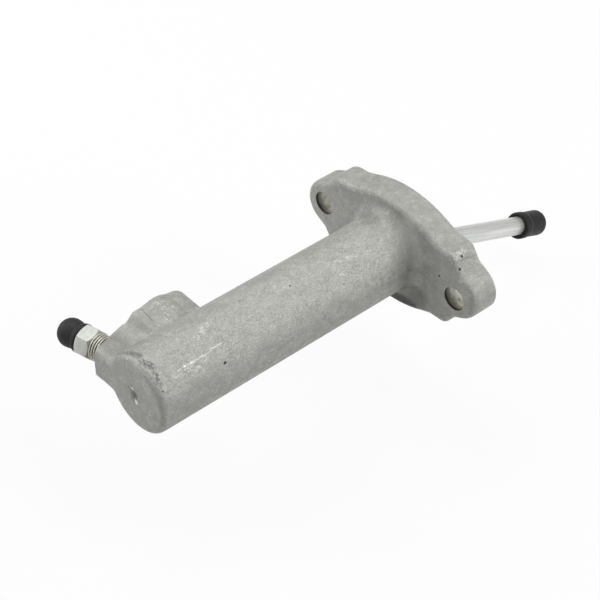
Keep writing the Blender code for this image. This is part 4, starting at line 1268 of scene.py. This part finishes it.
def make_push_rod():
    """The push rod with its ball end."""
    neck_meets_ball = math.asin(NECK_RADIUS / BALL_RADIUS)
    shank = [
        (0, ROD_LENGTH),
        (ROD_RADIUS, ROD_LENGTH),
        (ROD_RADIUS, NECK_END + 0.0016),
        (NECK_RADIUS, NECK_END),
        (NECK_RADIUS, BALL_RADIUS * math.cos(neck_meets_ball)),
    ]
    profile = rounded_profile(shank, 0.0008)[:-1]
    profile += arc((0, 0), BALL_RADIUS, math.pi / 2 - neck_meets_ball, -math.pi / 2, 32)[:-1]
    profile.append((0, -BALL_RADIUS))
    rod = on_rod(turned("steel_push_rod", profile))
    dress(rod, drawn_steel_material(), 40)
    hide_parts("push_rod")
    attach(rod, "push_rod")


def make_rod_cap():
    """The plastic cap on the rod's free end, with a bead round its mouth."""
    end = ROD_CAP_MOUTH + ROD_CAP_LENGTH
    cavity_radius = ROD_RADIUS + GAP
    edge_centre = (ROD_CAP_RADIUS - ROD_CAP_ROUNDING, end - ROD_CAP_ROUNDING)
    outer = [
        (ROD_CAP_RADIUS, end - ROD_CAP_ROUNDING),
        (ROD_CAP_RADIUS - 0.0001, ROD_CAP_MOUTH + 0.0042),
        (ROD_CAP_BEAD_RADIUS, ROD_CAP_MOUTH + 0.0030),
        (ROD_CAP_BEAD_RADIUS, ROD_CAP_MOUTH),
        (cavity_radius, ROD_CAP_MOUTH),
        (cavity_radius, ROD_LENGTH - 0.0004),
        (cavity_radius - 0.0006, ROD_LENGTH + GAP),
        (0, ROD_LENGTH + GAP),
    ]
    profile = [(0, end)] + arc(edge_centre, ROD_CAP_ROUNDING, math.pi / 2, 0, 12)[:-1]
    profile += rounded_profile(outer, 0.0005)
    cap = on_rod(turned("plastic_rod_cap", profile))
    dress(cap, rubber_material("rod_cap_plastic", 0.010, 0.42), 40)
    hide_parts("push_rod_cap")
    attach(cap, "rod_cap")


# The pieces inside the bore

def make_piston(material):
    """The piston, with the ball's socket in front and the secondary seal's groove behind."""
    groove_front = ROD_PIVOT_X + CLIP_OFFSET + CLIP_THICKNESS + GAP
    groove_back = ROD_PIVOT_X + CLIP_OFFSET - GAP
    mouth_angle = math.acos((CLIP_OFFSET - GAP) / SOCKET_RADIUS)
    socket = arc((ROD_PIVOT_X, 0), SOCKET_RADIUS, math.pi, mouth_angle, 24)
    seal_back = PISTON_BACK_X + SEAL_SETBACK
    seal_front = seal_back + SEAL_WIDTH + 2 * GAP
    profile = [(socket[0][0], 0)] + socket[1:]
    profile += [
        (groove_back, CLIP_OUTER_RADIUS + GAP),
        (groove_front, CLIP_OUTER_RADIUS + GAP),
        (groove_front, CLIP_LIP_RADIUS),
        (PISTON_FRONT_X, CLIP_LIP_RADIUS),
        (PISTON_FRONT_X, PISTON_RADIUS - 0.0004),
        (PISTON_FRONT_X - 0.0004, PISTON_RADIUS),
        (PISTON_FRONT_X - PISTON_LAND, PISTON_RADIUS),
        (PISTON_FRONT_X - PISTON_LAND - 0.0010, PISTON_WAIST_RADIUS),
        (seal_front + 0.0030, PISTON_WAIST_RADIUS),
        (seal_front + 0.0020, PISTON_RADIUS),
        (seal_front, PISTON_RADIUS),
        (seal_front, SEAL_GROOVE_RADIUS),
        (seal_back, SEAL_GROOVE_RADIUS),
        (seal_back, PISTON_RADIUS),
        (PISTON_BACK_X + 0.0004, PISTON_RADIUS),
        (PISTON_BACK_X, PISTON_RADIUS - 0.0004),
        (PISTON_BACK_X, PISTON_DIMPLE_RADIUS),
        (PISTON_BACK_X + PISTON_DIMPLE_DEPTH, 0),
    ]
    piston = freeze(turned_on_bore("turned_piston", profile))
    dress(piston, material)
    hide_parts("piston")
    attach(piston, "piston")


def make_bore_ring(name, node, body, profile, material, closed=True):
    """A ring or disc on the bore's axis that stands for one CAD node."""
    ring = freeze(turned_on_bore(name, profile, closed=closed))
    dress(ring, material, 35)
    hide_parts(node)
    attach(ring, body)


def make_inner_rings(rubber, zinc):
    """The seals, the spring seat and the stop washer."""
    back = PISTON_BACK_X + SEAL_SETBACK + GAP
    inner = SEAL_GROOVE_RADIUS + GAP
    make_bore_ring("lip_seal", "secondary_seal", "piston", [
        (back + SEAL_WIDTH, inner),
        (back + SEAL_WIDTH, SEAL_RADIUS - 0.0005),
        (back + 0.0012, SEAL_RADIUS - 0.0002),
        (back, SEAL_RADIUS),
        (back, SEAL_RADIUS - 0.0006),
        (back + 0.0008, inner + 0.0006),
        (back, inner),
    ], rubber)
    cup_back = CUP_FRONT_X - CUP_LENGTH
    base = CUP_FRONT_X - CUP_BASE
    make_bore_ring("pressure_cup", "primary_cup", "cup", [
        (CUP_FRONT_X, 0),
        (CUP_FRONT_X, SEAL_RADIUS - 0.0008),
        (CUP_FRONT_X - 0.0006, SEAL_RADIUS - 0.0003),
        (base - 0.0006, SEAL_RADIUS - 0.0003),
        (cup_back, SEAL_RADIUS),
        (cup_back, SEAL_RADIUS - 0.0008),
        (base - 0.0003, SEAT_RADIUS + GAP),
        (base, SEAT_RADIUS + GAP - 0.0003),
        (base, 0),
    ], rubber, closed=False)
    seat_back = SEAT_FRONT_X - SEAT_THICKNESS
    collar_end = seat_back - SEAT_COLLAR_LENGTH
    make_bore_ring("pressed_seat", "spring_seat", "cup", [
        (SEAT_FRONT_X, SEAT_HOLE_RADIUS),
        (SEAT_FRONT_X, SEAT_RADIUS),
        (seat_back, SEAT_RADIUS),
        (seat_back, SEAT_COLLAR_RADIUS),
        (collar_end, SEAT_COLLAR_RADIUS - 0.0002),
        (collar_end, SEAT_COLLAR_RADIUS - 0.0010),
        (seat_back, SEAT_COLLAR_RADIUS - 0.0008),
        (seat_back, SEAT_HOLE_RADIUS),
    ], zinc)
    make_bore_ring("flat_stop_washer", "stop_washer", "cylinder", [
        (GROOVE_BACK_X, WASHER_INNER_RADIUS),
        (GROOVE_BACK_X, MOUTH_RADIUS - GAP),
        (WASHER_BACK_X, MOUTH_RADIUS - GAP),
        (WASHER_BACK_X, WASHER_INNER_RADIUS),
    ], zinc)


def make_rod_clip(material):
    """The spring clip that keeps the ball in its socket."""
    back = ROD_PIVOT_X + CLIP_OFFSET
    clip = turned_on_bore("ball_clip", [
        (back + CLIP_THICKNESS, CLIP_INNER_RADIUS),
        (back + CLIP_THICKNESS, CLIP_OUTER_RADIUS),
        (back, CLIP_OUTER_RADIUS),
        (back, CLIP_INNER_RADIUS),
    ], closed=True)
    side = CLIP_GAP_HALF_WIDTH
    cut(clip, box("clip_gap", (back - 0.001, -side, 0.003), (back + 0.002, side, 0.009)))
    freeze(clip)
    dress(clip, material)
    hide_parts("rod_clip")
    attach(clip, "piston")


def make_spring(material):
    """The coil spring behind the piston, with closed end coils."""
    start = BORE_END_X + GAP + SPRING_WIRE_RADIUS
    end = SPRING_FRONT_X - SPRING_WIRE_RADIUS
    closed = 2.2 * SPRING_WIRE_RADIUS
    places = []
    for i in range(SPRING_TURNS * SPRING_STEPS + 1):
        turn = i / SPRING_STEPS
        if turn < 1:
            x = start + closed * turn
        elif turn > SPRING_TURNS - 1:
            x = end - closed * (SPRING_TURNS - turn)
        else:
            x = start + closed + (end - start - 2 * closed) * (turn - 1) / (SPRING_TURNS - 2)
        angle = 2 * math.pi * turn
        places.append((x, SPRING_RADIUS * math.cos(angle), SPRING_RADIUS * math.sin(angle)))
    curve = bpy.data.curves.new("coil_spring", "CURVE")
    curve.dimensions = "3D"
    curve.bevel_depth = SPRING_WIRE_RADIUS
    curve.bevel_resolution = 3
    curve.use_fill_caps = True
    spring = from_curve("coil_spring", curve, [places])
    dress(spring, material, 50)
    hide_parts("piston_spring")
    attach(spring, "cylinder")
    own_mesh(spring)


def make_retaining_ring(material):
    """The snap ring in the mouth's groove, with an eye at each end of its gap."""
    outer = GROOVE_RADIUS - GAP
    start = RING_GAP_ANGLE
    lug_end = RING_LUG_ANGLE
    full = 2 * math.pi
    outline = arc((0, 0), outer, start, full - start, 90)
    outline += arc((0, 0), RING_LUG_RADIUS, full - start, full - lug_end, 6)
    outline += arc((0, 0), RING_BAND_RADIUS, full - lug_end, lug_end, 84)
    outline += arc((0, 0), RING_LUG_RADIUS, lug_end, start, 6)
    outlines = [outline]
    eye_angle = (start + lug_end) / 2
    eye_reach = (outer + RING_LUG_RADIUS) / 2
    for sign in (-1, 1):
        centre = (eye_reach * math.cos(sign * eye_angle), eye_reach * math.sin(sign * eye_angle))
        outlines.append(arc(centre, RING_EYE_RADIUS, 0, full, 20)[:-1])
    curve = bpy.data.curves.new("snap_ring", "CURVE")
    curve.dimensions = "2D"
    curve.fill_mode = "BOTH"
    curve.extrude = RING_THICKNESS / 2
    flat = [[(u, v, 0) for u, v in points] for points in outlines]
    ring = from_curve("snap_ring", curve, flat, cyclic=True)
    ring.location = ((GROOVE_FRONT_X + GROOVE_BACK_X) / 2, 0, 0)
    ring.rotation_euler = (0, -math.pi / 2, 0)
    freeze(ring)
    dress(ring, material)
    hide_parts("retaining_ring")
    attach(ring, "cylinder")


# Studio

def make_studio():
    """A pale floor, a white surround and soft lights."""
    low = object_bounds()[0]
    work = bmesh.new()
    bmesh.ops.create_grid(work, x_segments=1, y_segments=1, size=FLOOR_HALF_SIDE)
    floor = from_bmesh("floor", work)
    floor.location = (0, 0, low.z - FLOOR_DROP)
    n = material_nodes("pale_floor")
    pale = n.finish((0.88, 0.88, 0.88, 1), 0.9, 0.0, specular=0.0)
    glow = n.add("ShaderNodeEmission")
    glow.inputs["Strength"].default_value = 1.0
    blend = n.add("ShaderNodeMixShader")
    n.put(blend.inputs[0], n.white_share(FLOOR_WHITENESS, FLOOR_GLOSSY_WHITE, FLOOR_WHITENESS))
    n.put(blend.inputs[1], n.tree.nodes["Principled BSDF"].outputs[0])
    n.put(blend.inputs[2], glow.outputs[0])
    n.put(n.tree.nodes["Material Output"].inputs["Surface"], blend.outputs[0])
    floor.data.materials.append(pale)

    world = bpy.data.worlds.new("studio")
    bpy.context.scene.world = world
    n = Nodes(world)
    background = n.tree.nodes["Background"]
    background.inputs["Color"].default_value = (1, 1, 1, 1)
    share = n.white_share(WORLD_WHITENESS, WORLD_GLOSSY_WHITE, WORLD_WHITENESS)
    n.put(background.inputs["Strength"], n.most(share, WORLD_LIGHT))

    # Each light: its turn about the part and its height in degrees, and its power
    for name, turn, height, power in (
        ("high_light_left", 72, 60, 2.75),
        ("high_light_right", 334, 62, 2.9),
        ("low_light_left", 118, 28, 3.9),
        ("low_light_right", 300, 28, 3.75),
        ("front_light", 160, 22, 0.80),
    ):
        light = bpy.data.lights.new(name, "AREA")
        light.energy = power
        light.size = LIGHT_SIZE
        lamp = add_object(name, light)
        flat = math.cos(math.radians(height))
        across = Vector((math.cos(math.radians(turn)), math.sin(math.radians(turn)))) * flat
        away = Vector((across.x, across.y, math.sin(math.radians(height))))
        lamp.location = LIGHT_TARGET + away * LIGHT_DISTANCE
        lamp.rotation_euler = (LIGHT_TARGET - lamp.location).to_track_quat("-Z", "Y").to_euler()


def make_camera():
    """The camera at the photograph's view."""
    data = bpy.data.cameras.new("photo_camera")
    camera = add_object("photo_camera", data)
    forward = Vector(CAMERA_FORWARD).normalized()
    right = Vector(CAMERA_RIGHT)
    right = (right - forward * right.dot(forward)).normalized()
    up = right.cross(forward)
    rotation = Matrix((right, up, -forward)).transposed()
    camera.matrix_world = Matrix.Translation(CAMERA_PLACE) @ rotation.to_4x4()
    data.sensor_fit = "HORIZONTAL"
    data.sensor_width = CAMERA_SENSOR
    data.lens = CAMERA_LENS
    data.clip_start = 0.01
    data.clip_end = 20
    bpy.context.scene.camera = camera


def main():
    """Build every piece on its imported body, then the studio and the camera."""
    seal_rubber = rubber_material("seal_black_rubber", 0.016, 0.45)
    zinc = zinc_material("washer_zinc", (0.80, 0.80, 0.78))
    clip_steel = steel_material("phosphated_clip_steel", (0.16, 0.16, 0.17), 0.40)
    spring_steel = steel_material("oiled_spring_steel", (0.32, 0.32, 0.33), 0.30)
    piston_metal = machined_material("piston_anodised", (0.66, 0.66, 0.63))
    make_casting()
    make_bleed_screw()
    make_bleed_cap()
    make_push_rod()
    make_rod_cap()
    make_piston(piston_metal)
    make_inner_rings(seal_rubber, zinc)
    make_rod_clip(clip_steel)
    make_spring(spring_steel)
    make_retaining_ring(clip_steel)
    for name, node in frame["nodes"].items():
        node.data.materials.clear()
        node.data.materials.append(zinc)
    make_studio()
    make_camera()
    scene = bpy.context.scene
    scene.render.engine = "CYCLES"
    scene.view_settings.view_transform = "Standard"
    scene.view_settings.look = "None"
    scene.view_settings.exposure = 0.0
    scene.view_settings.gamma = 1.0


main()
